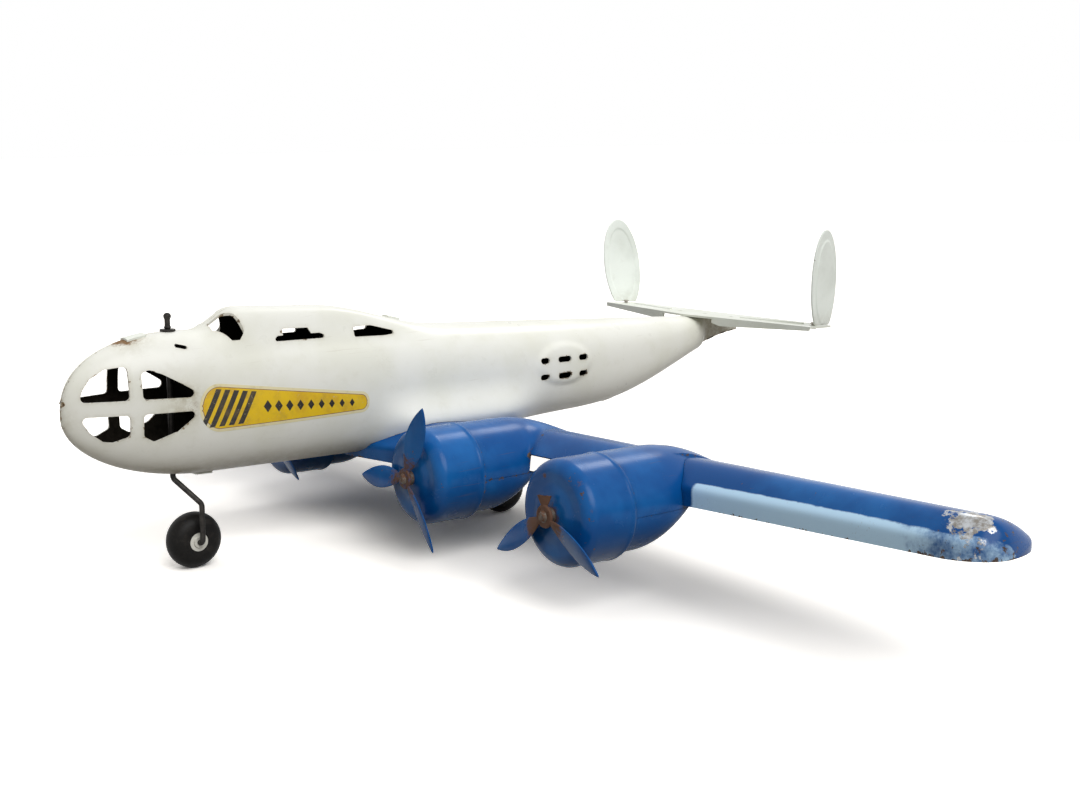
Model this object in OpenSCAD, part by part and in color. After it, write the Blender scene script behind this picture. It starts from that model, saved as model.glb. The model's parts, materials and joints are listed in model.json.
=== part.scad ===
// Pressed-steel toy transport plane: twin-fin tail, four engines on a low wing,
// and a swivelling nose wheel on a bent wire.
// The airframe is drawn in its own frame: x runs aft from the nose tip,
// y to starboard, z up from the bar between the nose windows.
// on_wheels() then stands it on its three wheels, with the ground at z = 0.

/* [Fuselage] */
// Length from the nose tip to the tail tip
body_len = 428; // [410:1:450]
// Half the width of the fuselage at the wing
body_half_w = 24; // [21:0.5:27]
// Height of the shoulder line behind the nose, above the window bar
shoulder_z = 32.5; // [30:0.5:35]
// Height of the top line at the tail tip
tail_top_z = 17.7; // [15:0.1:20]
// Depth of the belly below the window bar
belly_z = 35.6; // [34.8:0.1:36.4]
// Height of the tail tip's lower edge
tail_tip_z = 8.5; // [5:0.5:11]
// Thickness of the fuselage sheet
body_t = 1.0; // [0.8:0.1:1.3]
// Length of the rounded nose
nose_len = 58; // [50:1:66]
// Squareness of the fuselage section, 2 is an ellipse
body_n = 2.3; // [2:0.1:3]
// Height of the canopy hump above the shoulder line
hump_h = 10.6; // [8:0.2:12]
// Half the width of the flat top of the hump
hump_top_w = 7.5; // [6:0.5:9]
// Half the width of the foot of the hump
hump_foot_w = 17.5; // [16:0.5:19]
// How far the waist window panel stands proud
waist_bulge = 1.4; // [1:0.1:2]
// How far the wing root fillet flares out
root_flare = 9; // [6:0.5:11]

/* [Windows] */
// Width of the level bar between the nose windows
nose_bar_w = 6.6; // [5:0.2:8]
// Width of the upright bar between the nose windows
nose_post_w = 5.6; // [4:0.2:7]
// Corner radius of the nose windows
nose_win_r = 2; // [1.5:0.1:2.5]
// Corner radius of the cabin windows
cabin_win_r = 1; // [0.8:0.1:1.4]
// Diameter of the waist window corners
waist_hole_d = 3.2; // [2.6:0.2:4.4]

/* [Wing] */
// Distance from the nose tip to the leading edge at the centre line
wing_x = 146; // [140:1:152]
// Chord of the wing at the centre line
root_chord = 104; // [98:1:110]
// Sweep of the leading edge at the body, aft travel per unit of span
le_sweep = 0.245; // [0.2:0.005:0.28]
// Distance from the nose tip to the leading edge outboard of the inboard engines
bay_x = 194; // [188:1:200]
// Taper of the trailing edge, forward travel per unit of span
te_taper = 0.045; // [0.02:0.005:0.07]
// Depth of the wing's lower edge below the window bar at the centre line
wing_low_z = 37.6; // [36.6:0.1:38.6]
// Half the width of the level middle of the wing
flat_half = 30; // [26:1:36]
// Rise of the wing per unit of span, from the level middle to the joint
inner_rise = 0.031; // [0.02:0.001:0.045]
// Rise of the outer panel per unit of span
outer_rise = 0.05; // [0.03:0.005:0.08]
// Height of the wing's arch above its lower edge
arch_h = 17.5; // [16:0.5:19]
// Half the wing span
half_span = 343; // [330:1:360]
// Chord of the wing at the tip
tip_chord = 39; // [34:1:44]
// Thickness of the wing sheet
wing_t = 1.0; // [0.8:0.1:1.3]

/* [Engines] */
// Distance of the inboard engine from the centre line
inboard_y = 68; // [64:1:72]
// Distance of the outboard engine from the centre line
outboard_y = 173; // [168:1:180]
// Outer radius of the engine cowling
cowl_r = 23; // [21.5:0.5:24]
// Distance from the nose tip to the front of the cowling
cowl_x = 140; // [137:1:143]
// Length of the cowling cup
cowl_len = 27; // [25:1:29]
// Thickness of the cowling sheet
cowl_t = 1.0; // [0.8:0.1:1.2]
// Depth of the lower pan behind the cowling
pan_depth = 20; // [17:0.5:20.5]

/* [Propellers] */
// Radius to the blade tips
prop_r = 39; // [34:0.5:41]
// Width of a blade
blade_w = 11; // [9:0.5:12]
// Length left of the snapped blade on the port outboard propeller
stub_r = 9; // [8:0.5:20]
// Thickness of the propeller sheet
blade_t = 0.9; // [0.8:0.1:1.2]
// Blade pitch angle
blade_pitch = 20; // [12:1:26]
// Diameter of the propeller pin
pin_d = 2.4; // [2:0.1:3]

/* [Tail] */
// Half the span of the tailplane
tail_half_span = 85; // [78:1:92]
// Chord of the tailplane at the centre line
tail_chord = 38; // [34:1:42]
// Chord of the tailplane at its ends
tail_tip_chord = 24; // [22:1:26]
// Thickness of the tail sheet
tail_t = 1.2; // [1:0.1:1.5]
// Height of a fin
fin_h = 55; // [50:1:58]
// Width of a fin
fin_w = 27; // [25:1:30]
// Angle by which the fins toe out
fin_toe = 11; // [8:0.5:12]
// Lean of the starboard fin, bent outward
starboard_lean = 8; // [0:1:12]
// Lean of the port fin
port_lean = 2; // [0:1:12]
// Rake of the fins, top forward
fin_rake = 6; // [0:1:9]

/* [Wheels] */
// Diameter of the nose strut wire
wire_d = 2.6; // [2.2:0.1:3]
// Distance from the nose tip to the strut
strut_x = 51.6; // [49:0.2:54]
// Outer diameter of a tyre
tyre_d = 27; // [25:0.2:28.4]
// Width of a tyre
tyre_w = 13.4; // [11.8:0.2:14]
// Diameter of a wheel hub
hub_d = 9; // [8:0.5:10]
// Depth of the nose wheel centre below the window bar
nose_wheel_z = 68.3; // [66.8:0.1:70.2]
// Depth of the main wheel centres below the window bar
main_wheel_z = 63.2; // [61.8:0.1:64.7]
// Distance from the nose tip to the main axle
main_axle_x = 232; // [226:1:238]
// Diameter of the main axle
axle_d = 3; // [2.6:0.1:3.4]

/* [Fits] */
// Running clearance on the radius of a pin or axle
run_gap = 0.08; // [0.05:0.01:0.1]
// Seating clearance between pressed pieces
seat_gap = 0.05; // [0.03:0.01:0.1]

/* [Hidden] */
$fn = 48;

white = [0.93, 0.92, 0.87];
cream = [0.91, 0.89, 0.80];
blue = [0.13, 0.36, 0.66];
steel = [0.55, 0.55, 0.56];
dark = [0.16, 0.15, 0.15];

function clamp01(t) = max(0, min(1, t));
function smooth(a, b, x) = let (t = clamp01((x - a) / (b - a))) t * t * (3 - 2 * t);
function mix(a, b, t) = a + (b - a) * t;

// Fuselage lines
tip_z = -3;
nose_side_len = 145;
tail_end_x = body_len - 40;
taper_x = 240;
function round_up(x, len, n) = x >= len ? 1 : pow(1 - pow(1 - max(x, 0) / len, n), 1 / n);
function top_z(x) = x < nose_len ? mix(tip_z, shoulder_z, round_up(x, nose_len, 2.35))
    : mix(shoulder_z, tail_top_z, (x - nose_len) / (body_len - nose_len));
function low_z(x) = mix(tip_z, -belly_z + 8.3 * smooth(150, 310, x)
    + (tail_tip_z + belly_z - 8.3) * pow(smooth(285, body_len + 6, x), 1.3),
    round_up(x, nose_len + 8, 2));
function side_w(x) = x < taper_x ? body_half_w * round_up(x, nose_side_len, 2)
    : mix(body_half_w - (body_half_w - 9.5) * pow((x - taper_x) / (tail_end_x + 12 - taper_x), 1.6),
        1.7, smooth(tail_end_x + 1, tail_end_x + 13, x));

// Canopy hump, waist panel and wing root fillet
hump_x = 62;
function hump(x) = hump_h * smooth(hump_x, hump_x + 23, x) * (1 - smooth(128, 199, x));
waist_x = 271;
waist_z = 2.2;
waist_len = 43;
waist_ht = 25;
function bulge(x, z) = waist_bulge * (1 - smooth(0.72, 1,
    norm([(x - waist_x) / (waist_len / 2), (z - waist_z) / (waist_ht / 2)])));
function flare(x, z, y) = root_flare * smooth(144, 176, x) * (1 - smooth(222, 262, x))
    * pow(smooth(2, -21, z), 1.7) * smooth(4, 18, y);

function body_pt(x, a, inset) = let (
    w = max(side_w(x) - inset, 0.12),
    zt = top_z(x) - inset, zb = low_z(x) + inset,
    zm = (zt + zb) / 2, h = max((zt - zb) / 2, 0.15),
    y0 = a <= 0 || a >= 180 ? 0 : w * pow(sin(a), 2 / body_n),
    z0 = zm + h * sign(cos(a)) * pow(abs(cos(a)), 2 / body_n),
    z = a < 90 ? z0 + hump(x) * (1 - smooth(hump_top_w, hump_foot_w, y0 + inset * 0.7)) : z0)
    [x, -(y0 + bulge(x, z) * smooth(8, 16, y0) + flare(x, z, y0)), z];

body_stations = concat([for (a = [0:11.25:90]) 0.01 + (nose_len - 6) * (1 - cos(a))],
    [for (x = [nose_len:5:hump_x + 26]) x], [for (x = [100:13:200]) x],
    [for (x = [212:12:236]) x], [for (a = [0:20:180]) waist_x - (waist_len / 2 + 1) * cos(a)],
    [for (i = [0:6]) mix(306, tail_end_x, i / 6)],
    [for (i = [1:5]) tail_end_x + i * 3], [body_len - 12, body_len]);
body_angles = [for (i = [0:16]) i * 11.25];

// A sheet closed into a solid from two grids of points of the same size
module sheet_solid(outer, inner) {
    n = len(outer);
    m = len(outer[0]);
    pts = concat([for (r = outer) each r], [for (r = inner) each r]);
    o = n * m;
    faces = concat(
        [for (i = [0:n - 2], j = [0:m - 2]) let (k = i * m + j)
            each [[k, k + m + 1, k + 1], [k, k + m, k + m + 1]]],
        [for (i = [0:n - 2], j = [0:m - 2]) let (k = o + i * m + j)
            each [[k, k + 1, k + m + 1], [k, k + m + 1, k + m]]],
        [for (j = [0:m - 2]) each [[j, j + 1, o + j], [j + 1, o + j + 1, o + j]]],
        [for (j = [0:m - 2]) let (k = (n - 1) * m + j)
            each [[k + 1, k, o + k + 1], [o + k + 1, k, o + k]]],
        [for (i = [0:n - 2]) let (k = i * m)
            each [[k + m, k, o + k + m], [k, o + k, o + k + m]]],
        [for (i = [0:n - 2]) let (k = i * m + m - 1)
            each [[k, k + m, o + k], [k + m, o + k + m, o + k]]]);
    polyhedron(pts, faces, convexity = 10);
}

// A solid lofted through closed rings of points
module loft(rings) {
    n = len(rings);
    m = len(rings[0]);
    polyhedron([for (r = rings) each r], concat(
        [[for (j = [0:m - 1]) j]], [[for (j = [m - 1:-1:0]) (n - 1) * m + j]],
        [for (i = [0:n - 2], j = [0:m - 1]) let (k = (j + 1) % m) each
            [[i * m + j, (i + 1) * m + j, (i + 1) * m + k], [i * m + j, (i + 1) * m + k, i * m + k]]]),
        convexity = 10);
}

// Rounded cut-out through the port side wall: corners given as [x, z]
module side_cut(corners, r) {
    hull() for (c = corners) translate([c[0], 0, c[1]]) rotate([90, 0, 0]) cylinder(r = r, h = 60, $fn = 12);
}
bar_z = 0.6;
post_x = 29.6;
module nose_windows() {
    r = nose_win_r;
    fx = post_x - nose_post_w / 2 - r;
    rx = post_x + nose_post_w / 2 + r;
    uz = bar_z + nose_bar_w / 2 + r;
    lz = bar_z - nose_bar_w / 2 - r;
    side_cut([[8.8, uz], [9.6, uz + 2.6], [12.4, 12.6], [18, 16.2], [fx, 17], [fx, uz]], r);
    side_cut([[9.2, lz], [11.5, lz - 3.8], [16.4, -12.4], [19.5, -12.8], [fx, -11], [fx, lz]], r);
    side_cut([[rx, uz], [rx, 14.4], [rx + 1.6, 15], [41, 13], [49, 8.4], [53.4, uz - 0.3]], r);
    side_cut([[rx, lz], [rx, -11.8], [37.4, -13.6], [47, -9.9], [53.4, lz]], r);
}
module cabin_windows() {
    r = cabin_win_r;
    // windscreen, cut from above
    translate([0, 0, shoulder_z - 5]) hull()
        for (c = [[70.5, -4], [76, -4], [82.6, -12.4], [79, -14], [70.5, -8.5]])
            translate(c) cylinder(r = r, h = 30, $fn = 12);
    side_cut([[100, 26.6], [124.5, 26.6], [123, 27.2], [101, 27.2]], r);
    side_cut([[104.4, 26.6], [104.4, 30.2], [116.6, 30], [118.4, 26.6]], r);
    side_cut([[143.4, 25.8], [143.6, 28.6], [153, 28.8], [160, 26.8], [164.8, 25.7], [160, 25.4]], r);
}
module waist_windows() {
    r = waist_hole_d / 2;
    for (w = [[256, 5.5], [270, 9.6], [284, 6.9]], z = [4.7, -4.2]) {
        d = (w[1] - waist_hole_d) / 2;
        side_cut([[w[0] - d, z], [w[0] + d, z]], r);
    }
}
strut_hole_r = wire_d / 2 + run_gap;
module fuselage_half() {
    difference() {
        sheet_solid([for (x = body_stations) [for (a = body_angles) body_pt(x, a, 0)]],
            [for (x = body_stations) [for (a = body_angles)
                let (xi = mix(0.6 * body_t, body_len - 0.5, x / body_len)) body_pt(xi, a, body_t)]]);
        nose_windows();
        cabin_windows();
        waist_windows();
        // slot beside the canopy
        side_cut([[50.5, 26.8], [54.5, 25.8]], 0.8);
        translate([strut_x, 0, -60]) cylinder(r = strut_hole_r, h = 120, $fn = 24);
        wing_block([step_half - inboard_y, -flat_half, 0, flat_half], seat_gap);
    }
}
module fuselage_port_half() { color(white) on_wheels() fuselage_half(); }
module fuselage_starboard_half() { color(white) on_wheels() mirror([0, 1, 0]) fuselage_half(); }

// Skin height over the centre line, used by what sits on the seam
function skin_z(x, y, side) = let (w = side_w(x), zt = top_z(x), zb = low_z(x),
    zm = (zt + zb) / 2, h = (zt - zb) / 2)
    zm + side * h * pow(max(1 - pow(abs(y) / w, body_n), 0), 1 / body_n) + (side > 0 ? hump(x) : 0);
// A tab folded over the seam between the two halves
module seam_tab(x, len, half, side) {
    a = side > 0 ? seat_gap : seat_gap + 0.9;
    b = side > 0 ? seat_gap + 0.9 : seat_gap;
    xs = [for (i = [0:3]) x + len * (i / 3 - 0.5)];
    ys = [for (i = [0:6]) half * (i / 3 - 1)];
    sheet_solid([for (u = xs) [for (v = ys) [u, v, skin_z(u, v, side) + side * a]]],
        [for (u = xs) [for (v = ys) [u, v, skin_z(u, v, side) + side * b]]]);
}
module seam_tabs() {
    color(cream) on_wheels() {
        seam_tab(nose_len - 23, 9, 4, 1);
        seam_tab(wing_x + 27, 7, 3, 1);
        seam_tab(nose_len + 8, 8, 3.5, -1);
        seam_tab(body_len - 108, 8, 3, -1);
    }
}

// Wing lines
joint_y = outboard_y + cowl_r;
// The leading edge steps aft inside the inboard nacelle
step_half = 8;
function le_x(y) = mix(wing_x + le_sweep * min(abs(y), inboard_y - step_half), bay_x,
    clamp01((abs(y) - inboard_y + step_half) / (2 * step_half)));
joint_te = wing_x + root_chord - te_taper * joint_y;
tip_te = le_x(half_span) + tip_chord;
function te_x(y) = abs(y) < joint_y ? wing_x + root_chord - te_taper * abs(y)
    : mix(joint_te, tip_te, (abs(y) - joint_y) / (half_span - joint_y));
function wing_z(y) = -wing_low_z + inner_rise * max(0, min(abs(y), joint_y) - flat_half)
    + outer_rise * max(0, abs(y) - joint_y);
crest = 0.28;
function arch(t) = t < crest ? 0.45 + 0.55 * sin(90 * t / crest)
    : 1 - 0.72 * pow((t - crest) / (1 - crest), 1.7);
wing_steps = [for (i = [0:5]) crest * i / 5 * (i / 5 + 0.4) / 1.4, for (i = [1:7]) mix(crest, 1, i / 7)];
// One wing section: up the leading face, over the arch, down the trailing face
function section(y, a, b, z, h, inset) = concat([[a + inset, y, z]],
    [for (t = wing_steps) [mix(a + inset, b - inset, t), y, z + max(h * arch(t) - inset, 0.15)]],
    [[b - inset, y, z]]);
function wing_line(y, inset) = section(y, le_x(y), te_x(y), wing_z(y), arch_h, inset);
module wing_block(ys, grow) {
    loft([for (y = ys) concat([[le_x(y) - grow, y, -70]], wing_line(y, -grow), [[te_x(y) + grow, y, -70]])]);
}

// Engine nacelle behind the cowling: half ellipses over the seam line
cowl_back = cowl_x + cowl_len;
bead = 0.4;
engine_ys = [-outboard_y, -inboard_y, inboard_y, outboard_y];
function eng_te(y) = te_x(y) - 2;
function eng_h(x, te) = cowl_r * cos(86 * pow(clamp01((x - cowl_back - 25) / (te + 2 - cowl_back - 25)), 1.05));
function eng_w(x, te) = mix(cowl_r, 9, smooth(cowl_back + 18, te + 6, x));
// The centre pressing runs out to the far side of the outboard nacelle's tail
panel_y = outboard_y + eng_w(te_x(outboard_y), te_x(outboard_y));
half_ys = [flat_half, inboard_y - step_half, inboard_y + step_half, panel_y];
inner_ys = concat([for (i = [3:-1:0]) -half_ys[i]], [0], half_ys);
function eng_xs(te) = [for (i = [0:8]) mix(cowl_back, te, pow(i / 8, 0.9))];
seam_lip = 0.6;
module nacelle_solid(y, inset) {
    te = eng_te(y);
    z = wing_z(y);
    loft([for (x = eng_xs(te - inset)) let (w = eng_w(x, te) - inset, h = max(eng_h(x, te) - inset, 0.3))
        concat([for (i = [0:14]) let (a = 180 * i / 14) [x, y + w * cos(a), z + h * sin(a)]],
            [[x, y - w, z - seam_lip], [x, y + w, z - seam_lip]])]);
}
module wing_centre() {
    difference() {
        union() {
            sheet_solid([for (y = inner_ys) wing_line(y, 0)], [for (y = inner_ys) wing_line(y, wing_t)]);
            for (y = engine_ys) nacelle_solid(y, 0);
        }
        for (y = engine_ys) {
            translate([0, 0, -0.01]) nacelle_solid(y, wing_t);
            translate([0, y, wing_z(y)]) rotate([0, 90, 0])
                cylinder(r = cowl_r + bead + 0.2, h = cowl_back, $fn = 64);
            // the sheet's open edge under each nacelle
            te = eng_te(y);
            translate([cowl_back - 1, y - cowl_r + wing_t, wing_z(y) - 3])
                cube([0.01 + 8, 2 * (cowl_r - wing_t), 3]);
        }
        // the leading face stops short between the engines
        for (s = [-1, 1]) hull() for (y = [inboard_y + 24, outboard_y - 24])
            translate([le_x(y) - 4, s * y - 1, wing_z(y) - 1]) cube([4 + 3, 2, arch_h * 0.45 + 0.6]);
    }
}
module wing_centre_pressing() { color(blue) on_wheels() wing_centre(); }

// Outer panel: the section closes down over a rounded tip
tip_round = 20;
function tip_f(y) = y < half_span - tip_round ? 1
    : sqrt(max(1 - pow((y - half_span + tip_round) / tip_round, 2), 0));
// The rear corner of the tip is squarer than the front one
function tip_g(y) = sqrt(max(1 - pow(1 - pow(tip_f(y), 2), 2), 0));
function outer_line(y, inset) = let (f = tip_f(y), g = tip_g(y), c = te_x(y) - le_x(y), z = wing_z(y))
    section(y, le_x(y) + (1 - f) * c * 0.42, te_x(y) - (1 - g) * c * 0.57, z,
        arch_h * mix(0.03, mix(0.86, 1, clamp01((half_span - y) / (half_span - joint_y))), g), inset * mix(0.15, 1, f));
outer_ys = concat([outboard_y, joint_y, joint_y + 75, half_span - tip_round],
    [for (a = [70, 52, 35, 20, 8]) half_span - tip_round + tip_round * cos(a)], [half_span - 0.02]);
module outer_wing() {
    difference() {
        sheet_solid([for (y = outer_ys) outer_line(y, 0)],
            [for (y = outer_ys) outer_line(y > joint_y ? y - wing_t * (y - joint_y) / (half_span - joint_y) : y, wing_t)]);
        nacelle_solid(outboard_y, -seat_gap);
        translate([cowl_x, outboard_y - 5, -80]) cube([140, 5 + panel_y + seat_gap - outboard_y, 120]);
    }
}
module outer_wing_starboard() { color(blue) on_wheels() outer_wing(); }
module outer_wing_port() { color(blue) on_wheels() mirror([0, 1, 0]) outer_wing(); }

// Two flat plates close the level middle of the wing, seated inside its faces.
// The rear one carries the axle bracket, and the front one is plain.
module closing_plate(x0, x1) {
    g = wing_t + seat_gap;
    h = flat_half;
    intersection() {
        translate([0, 0, -wing_low_z]) linear_extrude(wing_t)
            polygon([[le_x(0) + g, 0], [le_x(h) + g, h], [te_x(h) - g, h], [te_x(0) - g, 0],
                [te_x(h) - g, -h], [le_x(h) + g, -h]]);
        translate([x0, -half_span, -wing_low_z - 1]) cube([x1 - x0, 2 * half_span, wing_t + 2]);
    }
}
module belly_plate() { color(blue) on_wheels() closing_plate(0, bracket_x - 1 - seat_gap); }
module axle_plate() {
    color(blue) on_wheels() difference() {
        closing_plate(bracket_x - 1, body_len);
        rivet_places() cylinder(r = rivet_r + seat_gap, h = 10, center = true);
    }
}

// Engine pieces
pin_r = pin_d / 2;
corner_r = 6;
module at_engine(y, x) { translate([x, y, wing_z(y)]) rotate([0, 90, 0]) children(); }
// Profile point lists run from the pin hole to the rim: [radius, depth]
function cup_line(t) = concat([[pin_r + seat_gap, t], [cowl_r * 0.45, 0.4 + t], [cowl_r - corner_r, 1.4 + t]],
    [for (a = [75:-15:0]) [cowl_r - corner_r + (corner_r - t) * cos(a), 1.4 + corner_r - (corner_r - t) * sin(a)]],
    [[cowl_r - t, cowl_len]]);
module cowling(y) {
    color(blue) on_wheels() at_engine(y, cowl_x) rotate_extrude($fn = 96) {
        polygon(concat(cup_line(0), [for (i = [len(cup_line(cowl_t)) - 1:-1:0]) cup_line(cowl_t)[i]]));
        translate([cowl_r, cowl_len - bead]) circle(r = bead, $fn = 24);
    }
}
module cowling_port_outboard() { cowling(-outboard_y); }
module cowling_port_inboard() { cowling(-inboard_y); }
module cowling_starboard_inboard() { cowling(inboard_y); }
module cowling_starboard_outboard() { cowling(outboard_y); }

pan_flat = 10;
pan_len = 32;
function pan_d(x) = pan_depth * sqrt(max(1 - pow(max(x - cowl_back - pan_flat, 0) / (pan_len - pan_flat + 1), 2), 0.01));
module engine_pan(y) {
    te = eng_te(y);
    xs = [for (i = [0:7]) cowl_back + seat_gap + (pan_len - seat_gap) * pow(i / 7, 0.75)];
    function ring(x, t) = [for (i = [0:12]) let (a = 180 - 15 * i)
        [x, y + (eng_w(x, te) - t) * cos(a), wing_z(y) - seam_lip - seat_gap - max(pan_d(x) - t, 0.4) * sin(a)]];
    color(blue) on_wheels() sheet_solid([for (x = xs) ring(x, 0)], [for (x = xs) ring(x, wing_t)]);
}
module engine_pan_port_outboard() { engine_pan(-outboard_y); }
module engine_pan_port_inboard() { engine_pan(-inboard_y); }
module engine_pan_starboard_inboard() { engine_pan(inboard_y); }
module engine_pan_starboard_outboard() { engine_pan(outboard_y); }

// Propellers, drawn flat with the shaft along z
hub_r = 5;
hub_t = 1.6;
spacer_r = 3.4;
prop_x = cowl_x - 3.2;
module blade() {
    l = prop_r - 2;
    r = (l * l + blade_w * blade_w) / (4 * blade_w);
    translate([0, 2, 0]) rotate([0, blade_pitch, 0]) translate([0, 0, -blade_t / 2]) linear_extrude(blade_t)
        intersection() {
            translate([r - blade_w / 2, l / 2]) circle(r = r, $fn = 96);
            translate([blade_w / 2 - r, l / 2]) circle(r = r, $fn = 96);
        }
}
// The first blade of a propeller can be snapped off near the hub
module propeller(y, turn, snapped = false) {
    color(blue) on_wheels() at_engine(y, prop_x) rotate([0, 0, turn]) difference() {
        union() {
            intersection() {
                blade();
                cylinder(r = snapped ? stub_r : prop_r + 1, h = 2 * blade_w, center = true);
            }
            for (k = [1:2]) rotate([0, 0, 120 * k]) blade();
            cylinder(r = hub_r, h = hub_t, center = true);
        }
        cylinder(r = pin_r + run_gap, h = 12, center = true);
    }
}
module propeller_port_outboard() { propeller(-outboard_y, 87, true); }
module propeller_port_inboard() { propeller(-inboard_y, 113); }
module propeller_starboard_inboard() { propeller(inboard_y, 90); }
module propeller_starboard_outboard() { propeller(outboard_y, 90); }
end_gap = 0.1;
module propeller_pins() {
    front = prop_x - hub_t / 2 - end_gap;
    color(steel) on_wheels() for (y = engine_ys) at_engine(y, 0) {
        translate([0, 0, front - 1.2]) cylinder(r1 = 1.6, r2 = 2.6, h = 1.2);
        translate([0, 0, front - 0.1]) cylinder(r = pin_r, h = cowl_x + cowl_t - front + 0.2);
        translate([0, 0, cowl_x + cowl_t + seat_gap]) cylinder(r1 = 2.2, r2 = 1.6, h = 1);
    }
}
module propeller_spacers() {
    back = prop_x + hub_t / 2 + end_gap;
    color(steel) on_wheels() for (y = engine_ys) at_engine(y, back) difference() {
        cylinder(r = spacer_r, h = cowl_x - seat_gap - back);
        translate([0, 0, -1]) cylinder(r = pin_r + 0.02, h = 8);
    }
}

// Tail, in a frame laid along the top line of the body
tail_x = body_len - 46;
tail_slope = atan((shoulder_z - tail_top_z) / (body_len - nose_len));
tail_sweep = 15;
module tail_frame() {
    on_wheels() translate([tail_x, 0, top_z(tail_x) + seat_gap]) rotate([0, tail_slope, 0]) children();
}
fin_x = tail_sweep + tail_tip_chord / 2;
foot_w = 7;
toe_y = tail_tip_chord / 2 * tan(fin_toe);
module at_fin(s) { translate([fin_x, s * tail_half_span, 0]) rotate([0, 0, -s * fin_toe]) children(); }
module tail_rivet_places() { for (s = [-1, 1]) at_fin(s) translate([0, -s * (tail_t + foot_w / 2), 0]) children(); }
module tailplane() {
    h = tail_half_span;
    color(cream) tail_frame() difference() {
        union() {
            linear_extrude(tail_t) polygon([[0, 0], [tail_sweep, h + toe_y], [tail_sweep + tail_tip_chord, h - toe_y],
                [tail_chord, 0], [tail_sweep + tail_tip_chord, -h + toe_y], [tail_sweep, -h - toe_y]]);
            // stamped ribs and rolled front edge
            for (s = [-1, 1]) round_bar([tail_chord * 0.5, s * 30, tail_t - 0.2],
                [tail_sweep + tail_tip_chord * 0.5, s * (h - foot_w - 6), tail_t - 0.2], 1);
            // folded front edge, deepest at the middle
            for (s = [-1, 1]) mirror([0, s < 0 ? 1 : 0, 0]) front_lip();
        }
        tail_rivet_places() cylinder(r = rivet_r + seat_gap, h = 10, center = true);
        for (y = [-22, 0, 22]) translate([tail_chord * 0.5, y, 0]) cylinder(r = 1.5, h = 10, center = true);
    }
}
// Round bar between two points
module round_bar(a, b, r) {
    d = b - a;
    translate(a) rotate([0, acos(d[2] / norm(d)), atan2(d[1], d[0])]) cylinder(r = r, h = norm(d));
}
// Strip folded down along the front edge, clear of the body
lip_deep = 5;
lip_shallow = 2.4;
lip_y = 21;
module front_lip() {
    run = atan2(tail_sweep, tail_half_span + toe_y);
    len = (tail_half_span + toe_y - 0.5) / cos(run);
    start = lip_y / cos(run);
    rotate([0, 0, 90 - run]) rotate([90, 0, 0]) linear_extrude(tail_t)
        polygon([[start, 0.5], [len, 0.5], [len, -lip_shallow + tail_t], [start + 6, -lip_deep + tail_t], [start, -lip_deep + tail_t + 1.5]]);
}
function oval(w, h, n) = [for (i = [0:n - 1]) let (a = 360 * i / n) [w / 2 * cos(a), h / 2 * sin(a)]];
module fin(s, lean) {
    full_h = fin_h * 1.1;
    rise = fin_h - full_h / 2;
    base = tail_t + seat_gap;
    at_fin(s) scale([1, s, 1]) {
        translate([0, 0, base]) rotate([lean, 0, 0]) rotate([90, 0, 0]) difference() {
            union() {
                linear_extrude(tail_t) translate([0, rise]) rotate(fin_rake) polygon(oval(fin_w, full_h, 48));
                translate([0, rise, -0.5]) linear_extrude(0.6) rotate(fin_rake) polygon(oval(fin_w - 7, full_h - 12, 40));
            }
            translate([0, rise, tail_t - 0.5]) linear_extrude(1) rotate(fin_rake)
                polygon(oval(fin_w - 8.5, full_h - 13.5, 40));
            translate([-fin_w, -full_h + 0.45, -3]) cube([2 * fin_w, full_h, 9]);
        }
        // foot folded inboard over the tailplane
        difference() {
            translate([-6, -tail_t - foot_w, base]) cube([12, foot_w + tail_t, 0.9]);
            translate([0, -tail_t - foot_w / 2, 0]) cylinder(r = rivet_r + seat_gap, h = 10);
        }
    }
}
module fin_starboard() { color(cream) tail_frame() fin(1, -starboard_lean); }
module fin_port() { color(cream) tail_frame() fin(-1, -port_lean); }
module tail_rivets() {
    top = tail_t + seat_gap + 0.9;
    color(steel) tail_frame() tail_rivet_places() {
        translate([0, 0, -0.8]) cylinder(r = 1.8, h = 0.8 - 0.01);
        translate([0, 0, -0.5]) cylinder(r = rivet_r, h = top + 1);
        translate([0, 0, top + 0.02]) cylinder(r1 = 2, r2 = 1.3, h = 0.9);
    }
}

// Nose gear: one bent wire with a wheel trailing on its end
wire_r = wire_d / 2;
trail = 9.3;
strut_side = tyre_w / 2 + 2.4 + wire_r;
strut_bend = 50;
bend_r = 3;
axle_bend_r = 3;
nose_wheel_x = strut_x + trail;
crown_z = top_z(strut_x);
strut_knee_z = low_z(strut_x) - 1;
strut_off = norm([trail, strut_side]);
strut_slant = (strut_off - 2 * bend_r * (1 - cos(strut_bend))) / sin(strut_bend);
strut_drop = 2 * bend_r * sin(strut_bend) + strut_slant * cos(strut_bend);
hub_half = tyre_w / 2 + 0.4;
washer_t = 0.8;
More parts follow.
